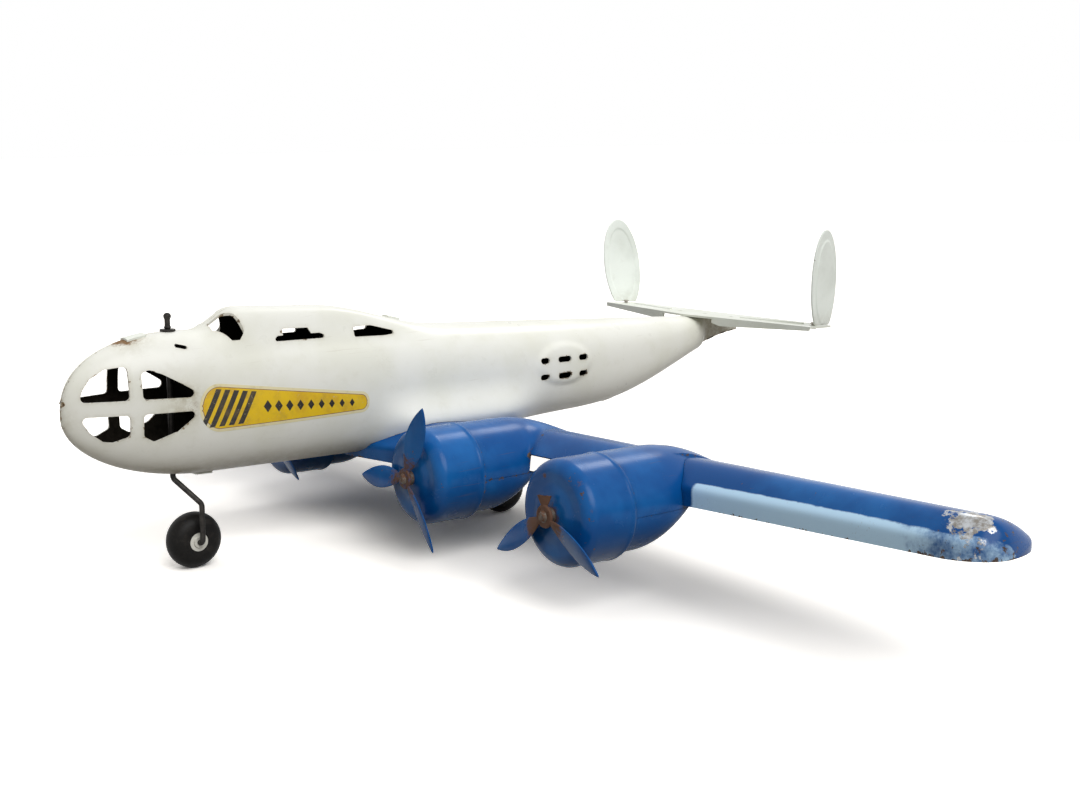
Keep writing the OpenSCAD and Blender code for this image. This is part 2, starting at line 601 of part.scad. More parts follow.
// Each bend is drawn a hair thicker than the straight lengths that run into it
lap = 0.3;
module bend(r, a) { rotate([90, 0, 0]) rotate_extrude(angle = a) translate([r, 0]) circle(r = wire_r + 0.02, $fn = 32); }
module strut_wire() {
    p1 = [bend_r * (1 - cos(strut_bend)), -bend_r * sin(strut_bend)];
    p2 = p1 + strut_slant * [sin(strut_bend), -cos(strut_bend)];
    leg_top = strut_knee_z - strut_drop + lap;
    leg_low = -nose_wheel_z + axle_bend_r - lap;
    translate([strut_x, 0, strut_knee_z]) {
        translate([0, 0, -lap]) cylinder(r = wire_r, h = crown_z + washer_t + 6 - strut_knee_z + lap);
        translate([0, 0, crown_z + washer_t + 0.25 - strut_knee_z]) cylinder(r = wire_r + 0.5, h = 1.2);
        translate([0, 0, crown_z + washer_t + 6 - strut_knee_z]) sphere(r = wire_r + 0.4, $fn = 32);
        rotate([0, 0, -atan2(strut_side, trail)]) {
            translate([bend_r, 0, 0]) rotate([0, 180, 0]) bend(bend_r, strut_bend);
            translate([p1[0], 0, p1[1]]) rotate([0, 180 - strut_bend, 0]) translate([0, 0, -lap])
                cylinder(r = wire_r, h = strut_slant + 2 * lap);
            translate([p2[0] - bend_r * cos(strut_bend), 0, p2[1] - bend_r * sin(strut_bend)]) bend(bend_r, strut_bend);
        }
    }
    translate([nose_wheel_x, -strut_side, leg_low]) cylinder(r = wire_r, h = leg_top - leg_low);
    translate([nose_wheel_x, -strut_side + axle_bend_r, -nose_wheel_z + axle_bend_r])
        rotate([90, 0, 90]) rotate([0, 0, 180]) rotate_extrude(angle = 90) translate([axle_bend_r, 0])
            circle(r = wire_r + 0.02, $fn = 32);
    translate([nose_wheel_x, -strut_side + axle_bend_r - lap, -nose_wheel_z]) rotate([-90, 0, 0])
        cylinder(r = wire_r, h = strut_side - axle_bend_r + lap + hub_half + 1.6);
}
module nose_strut() { color(dark) on_wheels() strut_wire(); }
module washer(r_out, r_in, t) { difference() { cylinder(r = r_out, h = t); translate([0, 0, -1]) cylinder(r = r_in, h = t + 2); } }
module strut_washer() {
    color(dark) on_wheels() translate([strut_x, 0, crown_z + seat_gap]) washer(3.6, wire_r + run_gap, washer_t);
}
module strut_stop() {
    color(dark) on_wheels() translate([strut_x, 0, crown_z - body_t - 1.8]) washer(3, wire_r + 0.01, 1.2);
}
module wheel_hub() {
    rotate([90, 0, 0]) rotate_extrude($fn = 64) polygon([[bore_r, -hub_half], [2.6, -hub_half], [2.9, -hub_half + 0.8],
        [hub_d / 2, -hub_half + 1], [hub_d / 2, hub_half - 1], [2.9, hub_half - 0.8], [2.6, hub_half], [bore_r, hub_half]]);
}
module tyre() {
    r = tyre_w / 2;
    rotate([90, 0, 0]) rotate_extrude($fn = 96) {
        translate([hub_d / 2 + seat_gap, -r * 0.8]) square([tyre_d / 2 - r - hub_d / 2 + 0.4 * r, r * 1.6]);
        translate([tyre_d / 2 - r, 0]) intersection() {
            circle(r = r, $fn = 64);
            translate([-(tyre_d / 2 - r - hub_d / 2 - seat_gap), -r]) square([tyre_d, 2 * r]);
        }
    }
}
bore_r = wire_r + run_gap;
module nose_wheel_hub() { color(white) on_wheels() translate([nose_wheel_x, 0, -nose_wheel_z]) wheel_hub(); }
module nose_tyre() { color(dark) on_wheels() translate([nose_wheel_x, 0, -nose_wheel_z]) tyre(); }
module nose_wheel_cap() {
    color(steel) on_wheels() translate([nose_wheel_x, hub_half + 0.3, -nose_wheel_z]) rotate([-90, 0, 0])
        washer(2.3, wire_r + 0.01, 1);
}

// Main gear: two wheels on a short axle in a channel under the wing
wheel_y = 16.5;
leg_y = wheel_y - hub_half - 0.4;
bracket_t = 1.2;
bracket_len = 34;
bracket_x = main_axle_x - 26;
rivet_r = 1.1;
plate_z = -wing_low_z;
axle_r = axle_d / 2;
module rivet_places() {
    for (i = [-1, 1], j = [-1, 1]) translate([main_axle_x - 9 + 9 * i, j * 5, plate_z]) children();
}
module axle_bracket() {
    color(steel) on_wheels() difference() {
        union() {
            translate([bracket_x, -leg_y, plate_z - seat_gap - bracket_t]) cube([bracket_len, 2 * leg_y, bracket_t]);
            for (s = [-1, 1]) translate([0, s * (leg_y - bracket_t / 2) + bracket_t / 2, 0]) rotate([90, 0, 0])
                linear_extrude(bracket_t) polygon([[bracket_x, plate_z - seat_gap - 0.01],
                    [bracket_x + bracket_len, plate_z - seat_gap - 0.01], [main_axle_x + 4.5, -main_wheel_z],
                    [main_axle_x + 3, -main_wheel_z - 3.6], [main_axle_x - 3, -main_wheel_z - 3.6],
                    [main_axle_x - 5, -main_wheel_z]]);
        }
        rivet_places() cylinder(r = rivet_r + seat_gap, h = 10, center = true);
        translate([main_axle_x, 0, -main_wheel_z]) rotate([90, 0, 0]) cylinder(r = axle_r + 0.02, h = 60, center = true);
    }
}
module bracket_rivets() {
    low = plate_z - seat_gap - bracket_t;
    color(steel) on_wheels() rivet_places() {
        translate([0, 0, low - plate_z - 0.82]) cylinder(r1 = 1.4, r2 = 2, h = 0.8);
        translate([0, 0, low - plate_z - 0.4]) cylinder(r = rivet_r, h = wing_t + bracket_t + 0.8 + seat_gap);
        translate([0, 0, wing_t + 0.02]) cylinder(r1 = 2, r2 = 1.4, h = 0.8);
    }
}
axle_end = wheel_y + hub_half + 1.6;
module main_axle() {
    color(steel) on_wheels() translate([main_axle_x, 0, -main_wheel_z]) rotate([90, 0, 0])
        cylinder(r = axle_r, h = 2 * axle_end, center = true);
}
module main_hub() {
    difference() {
        wheel_hub();
        rotate([90, 0, 0]) cylinder(r = axle_r + run_gap, h = 30, center = true);
    }
}
module at_main(s) { on_wheels() translate([main_axle_x, s * wheel_y, -main_wheel_z]) children(); }
module main_wheel_hub_port() { color(white) at_main(-1) main_hub(); }
module main_wheel_hub_starboard() { color(white) at_main(1) main_hub(); }
module main_tyre_port() { color(dark) at_main(-1) tyre(); }
module main_tyre_starboard() { color(dark) at_main(1) tyre(); }
module axle_caps() {
    color(steel) on_wheels() for (s = [-1, 1])
        translate([main_axle_x, s * (wheel_y + hub_half + 0.3), -main_wheel_z]) rotate([-90 * s, 0, 0])
            washer(2.5, axle_r + 0.01, 1);
}

// The airframe leans back a little to rest on all three wheels
pitch = atan2(nose_wheel_z - main_wheel_z, main_axle_x - nose_wheel_x);
ground_lift = nose_wheel_x * sin(pitch) + nose_wheel_z * cos(pitch) + tyre_d / 2;
mid_x = (body_len * cos(pitch) + (tail_top_z + tip_z) * sin(pitch)) / 2;
module on_wheels() {
    translate([-mid_x, 0, ground_lift]) rotate([0, pitch, 0]) children();
}

fuselage_port_half();
fuselage_starboard_half();
wing_centre_pressing();
belly_plate();
axle_plate();
outer_wing_port();
outer_wing_starboard();
cowling_port_outboard();
cowling_port_inboard();
cowling_starboard_inboard();
cowling_starboard_outboard();
engine_pan_port_outboard();
engine_pan_port_inboard();
engine_pan_starboard_inboard();
engine_pan_starboard_outboard();
propeller_port_outboard();
propeller_port_inboard();
propeller_starboard_inboard();
propeller_starboard_outboard();
propeller_pins();
propeller_spacers();
tailplane();
fin_port();
fin_starboard();
tail_rivets();
nose_strut();
strut_washer();
strut_stop();
nose_wheel_hub();
nose_tyre();
nose_wheel_cap();
axle_bracket();
main_axle();
main_wheel_hub_port();
main_tyre_port();
main_wheel_hub_starboard();
main_tyre_starboard();
axle_caps();
bracket_rivets();
seam_tabs();
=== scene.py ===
"""Looks of a pressed-steel toy transport plane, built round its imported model.

Every size is in millimetres in the airframe's own frame: x runs aft from the nose
tip, y to starboard and z up from the bar between the nose windows. Stance turns
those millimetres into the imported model's metres, with the toy on its wheels.
"""

import json
import logging
import math
from contextlib import contextmanager
from dataclasses import dataclass
from enum import Enum
from typing import Any, Callable, Iterator, Sequence

import bmesh
import bpy
import numpy as np
from mathutils import Matrix, Vector, geometry

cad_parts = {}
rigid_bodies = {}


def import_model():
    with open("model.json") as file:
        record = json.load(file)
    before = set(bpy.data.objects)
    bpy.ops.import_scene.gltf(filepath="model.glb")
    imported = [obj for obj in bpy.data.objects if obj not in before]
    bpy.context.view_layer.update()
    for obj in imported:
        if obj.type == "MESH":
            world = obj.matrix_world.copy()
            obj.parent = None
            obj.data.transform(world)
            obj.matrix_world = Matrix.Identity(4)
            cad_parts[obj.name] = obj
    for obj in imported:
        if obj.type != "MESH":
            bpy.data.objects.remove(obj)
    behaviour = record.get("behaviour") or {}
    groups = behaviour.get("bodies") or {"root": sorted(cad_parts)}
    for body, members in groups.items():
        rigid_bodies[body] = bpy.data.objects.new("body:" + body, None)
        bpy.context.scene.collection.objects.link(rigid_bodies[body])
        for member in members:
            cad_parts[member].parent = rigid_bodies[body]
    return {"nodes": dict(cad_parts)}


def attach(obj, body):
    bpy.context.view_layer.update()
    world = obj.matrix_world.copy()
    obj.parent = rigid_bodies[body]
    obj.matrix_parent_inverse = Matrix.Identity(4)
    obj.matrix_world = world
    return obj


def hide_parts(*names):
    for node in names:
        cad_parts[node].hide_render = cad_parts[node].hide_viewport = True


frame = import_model()

LOG = logging.getLogger("toy_plane")
Array = np.ndarray
Socket = bpy.types.NodeSocket
Colour = tuple[float, float, float, float]
Rule = Callable[[Array, Array], Array]
MM = 0.001
FAR = 50.0  # millimetres from the nearest sharp edge, past which distance no longer counts
WHITE: Colour = (1.0, 1.0, 1.0, 1.0)


class Slot(Enum):
    """Names of the record's material slots."""

    WHITE = "white_paint"
    CREAM = "cream_paint"
    BLUE = "blue_paint"
    WIRE = "dark_wire"


class Side(Enum):
    """A side of the airframe, as the sign of y."""

    PORT = -1
    STARBOARD = 1

    @property
    def word(self) -> str:
        """The side's name in lower case, as the node names have it."""
        return self.name.lower()


def mix(a: Any, b: Any, t: Any) -> Any:
    """Straight line from a at t 0 to b at t 1."""
    return a + (b - a) * t


def smooth(a: float, b: float, x: Any) -> Any:
    """Smoothstep 3t² − 2t³ of t = (x − a) / (b − a), held between 0 and 1."""
    t = np.clip((np.asarray(x, float) - a) / (b - a), 0.0, 1.0)
    return t * t * (3.0 - 2.0 * t)


def round_up(x: Any, length: float, power: float) -> Array:
    """Quarter superellipse (1 − (1 − x / length)^power)^(1 / power), 1 past its length."""
    t = np.clip(1.0 - np.asarray(x, float) / length, 0.0, 1.0)
    return (1.0 - t**power) ** (1.0 / power)


def fillet_max(a: Any, b: Any, k: float) -> Array:
    """The larger of two heights with a fillet: max(a, b) + max(k − |a − b|, 0)² / 4k."""
    return np.maximum(a, b) + np.maximum(k - np.abs(a - b), 0.0) ** 2 / (4.0 * k)


def points(x: Any, y: Any, z: Any) -> Array:
    """Stacks three arrays, spread to one shape, into an array of points."""
    return np.stack(np.broadcast_arrays(np.asarray(x, float), y, z), axis=-1)


def runs(*ends: tuple[float, float, int]) -> Array:
    """Evenly spaced numbers in runs, one after another, each given by its start, end and count."""
    return np.concatenate([np.linspace(*end) for end in ends])


def signed_power(x: Any, power: float) -> Array:
    """A power of a number's size, with the number's sign."""
    return np.sign(x) * np.abs(x) ** power


def bell(x: Any, middle: float, reach: float) -> Array:
    """Bell curve exp(−((x − middle) / reach)²)."""
    return np.exp(-(((x - middle) / reach) ** 2))


def spun(u: Any, v: Any, angle: Any) -> tuple[Array, Array]:
    """Turns a pair of coordinates by an angle in radians, from the first axis to the second."""
    c, s = np.cos(angle), np.sin(angle)
    return u * c - v * s, u * s + v * c


def pitched(p: Array, angle: float, x0: float = 0.0, z0: float = 0.0) -> Array:
    """Turns points about y by an angle in radians, nose up, and moves their origin to x0 and z0."""
    c, s = math.cos(angle), math.sin(angle)
    x, y, z = p[..., 0], p[..., 1], p[..., 2]
    return points(x * c + z * s + x0, y, z0 - x * s + z * c)


@dataclass(frozen=True)
class Stance:
    """How the airframe stands on its wheels: a small nose-up pitch and a lift."""

    body_len: float = 428.0
    ends_z: float = 14.7
    nose_axle: tuple[float, float] = (60.9, -68.3)
    main_axle: tuple[float, float] = (232.0, -63.2)
    tyre_r: float = 13.5

    @property
    def pitch(self) -> float:
        """Angle in radians that brings both axles to one height."""
        run = self.main_axle[0] - self.nose_axle[0]
        return math.atan2(self.main_axle[1] - self.nose_axle[1], run)

    def world(self, p: Array) -> Array:
        """Turns airframe millimetres into metres: pitched about y, centred and lifted.

        Args:
            p: points in the airframe's frame, of any shape ending in 3.

        Returns:
            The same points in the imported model's frame.
        """
        c, s = math.cos(self.pitch), math.sin(self.pitch)
        middle = (self.body_len * c + self.ends_z * s) / 2.0
        lift = self.nose_axle[0] * s - self.nose_axle[1] * c + self.tyre_r
        return pitched(p, self.pitch, -middle, lift) * MM

    def airframe(self, p: Array) -> Array:
        """The way back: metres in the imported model's frame to airframe millimetres.

        Args:
            p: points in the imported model's frame, of any shape ending in 3.

        Returns:
            The same points in the airframe's frame.
        """
        return pitched((p - self.world(np.zeros(3))) / MM, -self.pitch)


STANCE = Stance()


def linear(colour: str) -> Colour:
    """Turns an sRGB hex colour into Blender's linear colour.

    Args:
        colour: six hex digits.

    Returns:
        Red, green, blue and alpha.
    """
    part = np.array([int(colour[i : i + 2], 16) for i in (0, 2, 4)]) / 255.0
    value = np.where(part <= 0.04045, part / 12.92, ((part + 0.055) / 1.055) ** 2.4)
    return (*value.tolist(), 1.0)


class Shade:
    """A node tree in the making: each method adds nodes and returns the socket that leads on."""

    def __init__(self, owner: bpy.types.Material | bpy.types.World) -> None:
        """Takes the owner's tree and empties it."""
        self.owner = owner
        owner.use_nodes = True
        self.tree = owner.node_tree
        self.tree.nodes.clear()
        self.places: dict[float, Socket] = {}

    def add(self, kind: str, inputs: dict[int | str, Any] | None = None, out: int | str = 0,
            **settings: Any) -> Socket:
        """Adds one node with its settings and its inputs.

        Args:
            kind: the node's type, without its ShaderNode prefix.
            inputs: socket name or number to a value, or to the output socket to link.
            out: name or number of the output that leads on.
            settings: the node's own properties.

        Returns:
            That output.
        """
        node = self.tree.nodes.new("ShaderNode" + kind)
        for name, value in settings.items():
            setattr(node, name, value)
        for name, value in (inputs or {}).items():
            if isinstance(value, Socket):
                self.tree.links.new(value, node.inputs[name])
            else:
                node.inputs[name].default_value = value
        return node.outputs[out]

    def end(self, kind: str, shader: Socket) -> bpy.types.Material | bpy.types.World:
        """Ends the tree in its output node, OutputMaterial or OutputWorld, and returns the owner."""
        self.tree.links.new(shader, self.tree.nodes.new("ShaderNode" + kind).inputs["Surface"])
        return self.owner

    def math(self, how: str, *terms: Any, clamp: bool = False) -> Socket:
        """One Math node over its terms."""
        return self.add("Math", dict(enumerate(terms)), operation=how, use_clamp=clamp)

    def times(self, first: Any, second: Any) -> Socket:
        """The product of two values."""
        return self.math("MULTIPLY", first, second)

    def less(self, first: Any, second: Any) -> Socket:
        """The first value less the second."""
        return self.math("SUBTRACT", first, second)

    def raised(self, base: Any, value: Any, share: float, clamp: bool = False) -> Socket:
        """A base plus a share of another value."""
        return self.math("MULTIPLY_ADD", value, share, base, clamp=clamp)

    def within(self, value: Any, low: float, high: float) -> Socket:
        """1 where a value lies between two levels, and 0 elsewhere."""
        return self.times(self.math("GREATER_THAN", value, low), self.math("LESS_THAN", value, high))

    def step(self, value: Any, low: float, high: float, top: float = 1.0) -> Socket:
        """A soft threshold: 0 below low, top above high, and smooth between."""
        ends = {"Value": value, "From Min": low, "From Max": high, "To Max": top}
        return self.add("MapRange", ends, interpolation_type="SMOOTHSTEP")

    def blend(self, share: Any, first: Any, second: Any) -> Socket:
        """Mixes two colours by a share, each a socket, a linear colour or sRGB hex digits."""
        first, second = (linear(c) if isinstance(c, str) else c for c in (first, second))
        return self.add("Mix", {0: share, 6: first, 7: second}, 2, data_type="RGBA")

    def place(self, along: float) -> Socket:
        """Object coordinates in millimetres, x times a factor, made once for each factor."""
        if along not in self.places:
            scale = (along / MM, 1.0 / MM, 1.0 / MM)
            self.places[along] = self.add("VectorMath", {0: self.add("TexCoord", out="Object"), 1: scale},
                                          operation="MULTIPLY")
        return self.places[along]

    def noise(self, size: float, detail: float = 3.0, rough: float = 0.55, shift: float = 0.0,
              along: float = 1.0) -> Socket:
        """Cloudy noise.

        Args:
            size: about how many millimetres a blotch is across.
            detail: octaves of finer noise.
            rough: strength of the finer noise.
            shift: moves the pattern, so that two of like size differ.
            along: factor on x, below 1 to draw the pattern out along the toy.

        Returns:
            The noise's value.
        """
        place = self.place(along)
        if shift:
            place = self.add("VectorMath", {0: place, 1: (shift, -shift, shift / 3.0)}, operation="ADD")
        return self.add("TexNoise", {"Vector": place, "Scale": 1.0 / size, "Detail": detail,
                                     "Roughness": rough}, "Fac")

    def stored(self, name: str) -> Socket:
        """A number that the piece's builder stored on its points, 0 where it stored none."""
        return self.add("Attribute", out="Fac", attribute_name=name)

    def patches(self, name: str, grain: Socket, share: float, low: float, high: float) -> Socket:
        """Ragged patches, where a stored number plus a share of noise passes a level."""
        return self.step(self.raised(self.stored(name), grain, share), low, high)

    def ray(self, kind: str) -> Socket:
        """1 for rays of a kind, and 0 for the others."""
        return self.add("LightPath", out=f"Is {kind} Ray")

    def seen(self) -> Socket:
        """1 for rays that show the background: from the camera, mirrored or through glass."""
        first = self.math("MAXIMUM", self.ray("Camera"), self.ray("Glossy"))
        return self.math("MAXIMUM", first, self.ray("Transmission"))

    def bump(self, height: Socket, strength: float, depth: float) -> Socket:
        """A normal bumped by a height, whose step from 0 to 1 is a depth in millimetres."""
        return self.add("Bump", {"Height": height, "Strength": strength, "Distance": depth * MM})

    def surface(self, colour: Socket, rough: Socket, normal: Socket, metal: Any = 0.0,
                specular: float = 0.5) -> bpy.types.Material:
        """Ends the tree in one Principled shader, and returns the material."""
        return self.end("OutputMaterial", self.add("BsdfPrincipled", {
            "Base Color": colour, "Roughness": rough, "Normal": normal, "Metallic": metal,
            "Specular IOR Level": specular}))


@dataclass(frozen=True)
class Enamel:
    """Gloss enamel sprayed on pressed steel and played with for decades.

    The eye sees a soft gloss, slightly uneven sheet under it, patches that have
    faded, hairline scratches, and chips with a brown halo down to dark steel,
    thickest along the edges. Its stored marks also bring painted shade into the
    dirt, and a painted reflection of the floor onto the outer panels' leading face.
    """

    name: str
    sound: str
    faded: str
    # colour of grime, and of the painted shade mixed into the stored stains
    dirt: str
    chip: str
    halo: str
    rust: str = "5E4436"
    # colour of the painted reflection of the white floor
    pale: str = "C4E6FF"
    bright: str = "C4C8CC"
    dulled: str = "8A857E"
    gloss: float = 0.3
    chip_size: float = 2.4
    chip_level: float = 1.02
    chip_cover: float = 0.0
    scratch_tint: float = 0.25
    chip_metal: float = 0.35
    specular: float = 0.4

    def build(self) -> bpy.types.Material:
        """Builds the node material."""
        n = Shade(bpy.data.materials.new(self.name))
        # fading in blotches the size of a hand's wear, 40 mm, and dirt in 7 mm ones
        fade = n.step(n.noise(40.0, 4.0), 0.42, 0.68)
        colour = n.blend(fade, self.sound, self.faded)
        grime = n.step(n.noise(7.0, 6.0, 0.68, 31.0), 0.52, 0.78, 0.10)
        # stored stains: dirt, and on the body also painted shade that darkens the belly and the tail end
        stain = n.times(n.stored("stain"), n.step(n.noise(3.5, 6.0, 0.7, 12.0), 0.25, 0.62))
        dirt_and_shade = n.math("ADD", grime, stain, clamp=True)
        colour = n.blend(dirt_and_shade, colour, self.dirt)
        # painted reflection of the white floor: a pale band on the outer panels' leading face, in ragged
        # patches
        painted_floor_reflection = n.patches("pale", n.noise(7.0, 5.0, 0.65, 44.0), 0.8, 0.82, 1.2)
        colour = n.blend(painted_floor_reflection, colour, self.pale)
        # hairline scratches run along the toy, drawn 0.5 mm wide so that they show
        drawn = n.step(n.noise(1.1, 2.0, 0.5, 5.0, along=0.035), 0.66, 0.70)
        scratch = n.times(drawn, n.step(n.noise(18.0, 2.0, 0.5, 77.0), 0.45, 0.7))
        colour = n.blend(n.times(scratch, self.scratch_tint), colour, self.halo)
        # chips: small blots where fine noise plus wear passes a level
        fine, broad = n.noise(self.chip_size, 5.0, 0.62, 3.0), n.noise(16.0, 2.0, 0.5, 58.0)
        level = n.raised(n.raised(fine, broad, 0.35), n.stored("wear"), 0.55)
        start = self.chip_level - self.chip_cover
        halo = n.step(level, start - 0.035, start)
        chip = n.step(level, start, start + 0.012)
        colour = n.blend(n.times(halo, 0.6), colour, self.halo)
        bare = n.blend(n.step(n.noise(1.6, 4.0), 0.4, 0.62), self.chip, self.halo)
        colour = n.blend(chip, colour, bare)
        # rust in ragged 2 mm blots that join up, and bright metal where the paint has rubbed off
        rusty = n.patches("rust", n.noise(2.2, 6.0, 0.75, 17.0), 1.4, 1.12, 1.6)
        colour = n.blend(rusty, colour, self.rust)
        rubbed = n.patches("bare", n.noise(5.0, 6.0, 0.7, 66.0), 2.2, 1.75, 1.85)
        tone = n.blend(n.step(n.noise(2.5, 4.0, 0.6, 23.0), 0.35, 0.65), self.bright, self.dulled)
        colour = n.blend(rubbed, colour, tone)
        # dents 20 mm across, a fine orange peel on them, and a step down into each chip
        relief = n.raised(n.noise(22.0, 2.0, 0.4, 9.0), n.noise(2.2, 2.0, 0.5), 0.05)
        relief = n.raised(relief, chip, -0.3)
        rough = n.raised(self.gloss - 0.08, n.noise(12.0, 4.0, 0.6, 21.0), 0.16)
        rough = n.raised(n.raised(rough, chip, 0.28), dirt_and_shade, 0.2)
        rough = n.raised(rough, rusty, 0.35, clamp=True)
        metal = n.raised(n.times(rubbed, 0.5), chip, self.chip_metal, clamp=True)
        return n.surface(colour, rough, n.bump(relief, 0.35, 0.4), metal, self.specular)


@dataclass(frozen=True)
class Steel:
    """Bare low-carbon steel: drawn or sheared, dulled and spotted with rust."""

    name: str
    clean: str
    dark: str
    rust: str
    rough: float = 0.42
    rust_cover: float = 0.3
    metallic: float = 0.9
    specular: float = 0.3

    def build(self) -> bpy.types.Material:
        """Builds the node material."""
        n = Shade(bpy.data.materials.new(self.name))
        tone = n.step(n.noise(3.0, 5.0, 0.6), 0.35, 0.7)
        start = 0.78 - 0.4 * self.rust_cover
        spots = n.step(n.noise(1.8, 6.0, 0.7, 14.0), start, start + 0.1)
        colour = n.blend(spots, n.blend(tone, self.clean, self.dark), self.rust)
        rough = n.raised(n.raised(self.rough, tone, 0.12), spots, 0.3, clamp=True)
        grain = n.bump(n.noise(0.9, 4.0, 0.6), 0.3, 0.12)
        metal = n.raised(self.metallic, spots, -self.metallic)
        return n.surface(colour, rough, grain, metal, self.specular)


@dataclass(frozen=True)
class Rubber:
    """Moulded natural rubber, gone dull and greyish with dust in its pores."""

    name: str
    fresh: str
    dusty: str
    rough: float = 0.42
    specular: float = 0.12

    def build(self) -> bpy.types.Material:
        """Builds the node material."""
        n = Shade(bpy.data.materials.new(self.name))
        dust = n.step(n.noise(5.0, 6.0, 0.7), 0.45, 0.8)
        pores = n.bump(n.noise(0.8, 4.0, 0.7, 6.0), 0.4, 0.15)
        colour = n.blend(dust, self.fresh, self.dusty)
        return n.surface(colour, n.raised(self.rough, dust, 0.25), pores, specular=self.specular)


class Finishes:
    """Every finish on the toy, built once."""

    def __init__(self) -> None:
        """Builds the materials."""
        self.white = Enamel("white_gloss_enamel_worn", "ECECE4", "E5E5D9", "A59A7C", "6B6256", "8C7350",
                            rust="7E5F3D", scratch_tint=0.12).build()
        self.cream = Enamel("cream_gloss_enamel_worn", "E6E9DF", "DCDFD1", "9A9078", "5B554C", "7D6A4E",
                            gloss=0.34, scratch_tint=0.18, chip_cover=0.01).build()
        self.fin = Enamel("white_fin_enamel", "F4FAF3", "E4EAE2", "9A9078", "5B554C", "7D6A4E",
                          gloss=0.34, scratch_tint=0.08).build()
        self.blue = Enamel("blue_gloss_enamel_worn", "074C8E", "1963A8", "10284A", "4A3F3A", "5C4C42",
                           gloss=0.25, scratch_tint=0.22, chip_cover=0.03, chip_metal=0.4,
                           specular=0.17).build()
        # inner faces: unpainted steel with painted shade, near black and without metal or sheen, for the
        # hollow inside the shells
        self.inside = Steel("unpainted_sheet_steel_inside", "2A2620", "1C1914", "33281C", 0.65, 0.2, 0.0,
                            0.05).build()
        self.steel = Steel("bare_drawn_steel_aged", "A9A49A", "77726A", "7A5236", 0.4, 0.35).build()
        self.rusty = Steel("rusted_steel_pin", "6E655C", "4A4039", "5E3E2C", 0.5, 0.75, 0.4).build()
        self.wire = Steel("blackened_spring_wire", "3A3734", "272523", "5D4332", 0.45, 0.25, 0.6).build()
        self.rubber = Rubber("old_black_rubber", "171615", "2E2B28").build()
        self.hub = Enamel("white_hub_paint", "E2E1D9", "D3D1C6", "8A8272", "4C4844", "7A6C58",
                          gloss=0.4).build()
        self.blue_sheet = [self.blue, self.blue]
        self.white_sheet = [self.white, self.inside]


def linked(name: str, data: bpy.types.ID) -> bpy.types.Object:
    """A new object with its data, linked to the scene."""
    piece = bpy.data.objects.new(name, data)
    bpy.context.scene.collection.objects.link(piece)
    return piece


@contextmanager
def edited(mesh: bpy.types.Mesh) -> Iterator[bmesh.types.BMesh]:
    """Opens a mesh as a bmesh, and writes it back at the end."""
    tool = bmesh.new()
    tool.from_mesh(mesh)
    yield tool
    tool.to_mesh(mesh)
    tool.free()


def grid_quads(rows: int, columns: int) -> Array:
    """Four corner numbers of every cell in a grid of points, as one array."""
    corner = np.arange(rows - 1)[:, None] * columns + np.arange(columns - 1)
    return corner.reshape(-1, 1) + np.array([0, columns, columns + 1, 1])


def faces_out(patch: Array, inside: Any) -> bool:
    """Says whether a grid's cells face away from what lies inside them.

    Args:
        patch: grid of points.
        inside: one point, points that spread over the cells, or a function from
            cell centres to points.

    Returns:
        True where the mean cell normal points outwards.
    """
    across = patch[1:, 1:] - patch[:-1, :-1]
    along = patch[1:, :-1] - patch[:-1, 1:]
    normal = np.cross(along, across)
    centre = (patch[1:, 1:] + patch[:-1, :-1]) / 2.0
    away = centre - (inside(centre) if callable(inside) else np.asarray(inside, float))
    return float(np.sum(normal * away)) > 0.0


def build_mesh(name: str, patches: Sequence[Array], inside: Any,
               weld: float = 0.004) -> bpy.types.Object:
    """Makes one mesh object of grids of points given in airframe millimetres.

    Args:
        name: the object's name.
        patches: grids of points, each rows by columns by 3.
        inside: what the faces look away from, as faces_out takes it.
        weld: points closer than this, in millimetres, become one.

    Returns:
        The object, linked to the scene, at the origin.
    """
    corners, quads, count = [], [], 0
    for patch in patches:
        cells = grid_quads(*patch.shape[:2])
        if not faces_out(patch, inside):
            cells = cells[:, ::-1]
        corners.append(STANCE.world(patch).reshape(-1, 3))
        quads.append(cells + count)
        count += patch.shape[0] * patch.shape[1]
    mesh = bpy.data.meshes.new(name)
    mesh.from_pydata(np.concatenate(corners).tolist(), [], np.concatenate(quads).tolist())
    with edited(mesh) as tool:
        bmesh.ops.remove_doubles(tool, verts=tool.verts, dist=weld * MM)
        bmesh.ops.dissolve_degenerate(tool, edges=tool.edges, dist=1e-7)
    return linked(name, mesh)


def thicken(piece: bpy.types.Object, wall: float) -> None:
    """Gives a sheet its wall in millimetres, inwards, with its inner face in slot 1."""
    while len(piece.data.materials) < 2:
        piece.data.materials.append(None)
    sheet = piece.modifiers.new("wall", "SOLIDIFY")
    sheet.thickness = wall * MM
    sheet.offset = -1.0
    sheet.use_even_offset = True
    sheet.thickness_clamp = 0.0
    sheet.material_offset = 1


def settle(piece: bpy.types.Object, sharp: float) -> None:
    """Applies the piece's modifiers, and shades it smooth up to an angle in degrees."""
    graph = bpy.context.evaluated_depsgraph_get()
    mesh = bpy.data.meshes.new_from_object(piece.evaluated_get(graph))
    piece.modifiers.clear()
    old, piece.data = piece.data, mesh
    bpy.data.meshes.remove(old)
    mesh.name = piece.name
    mesh.shade_smooth()
    mesh.set_sharp_from_angle(angle=math.radians(sharp))


def mesh_points(piece: bpy.types.Object) -> Array:
    """The mesh's points in airframe millimetres."""
    flat = np.empty(len(piece.data.vertices) * 3, np.float32)
    piece.data.vertices.foreach_get("co", flat)
    return STANCE.airframe(flat.reshape(-1, 3).astype(float))


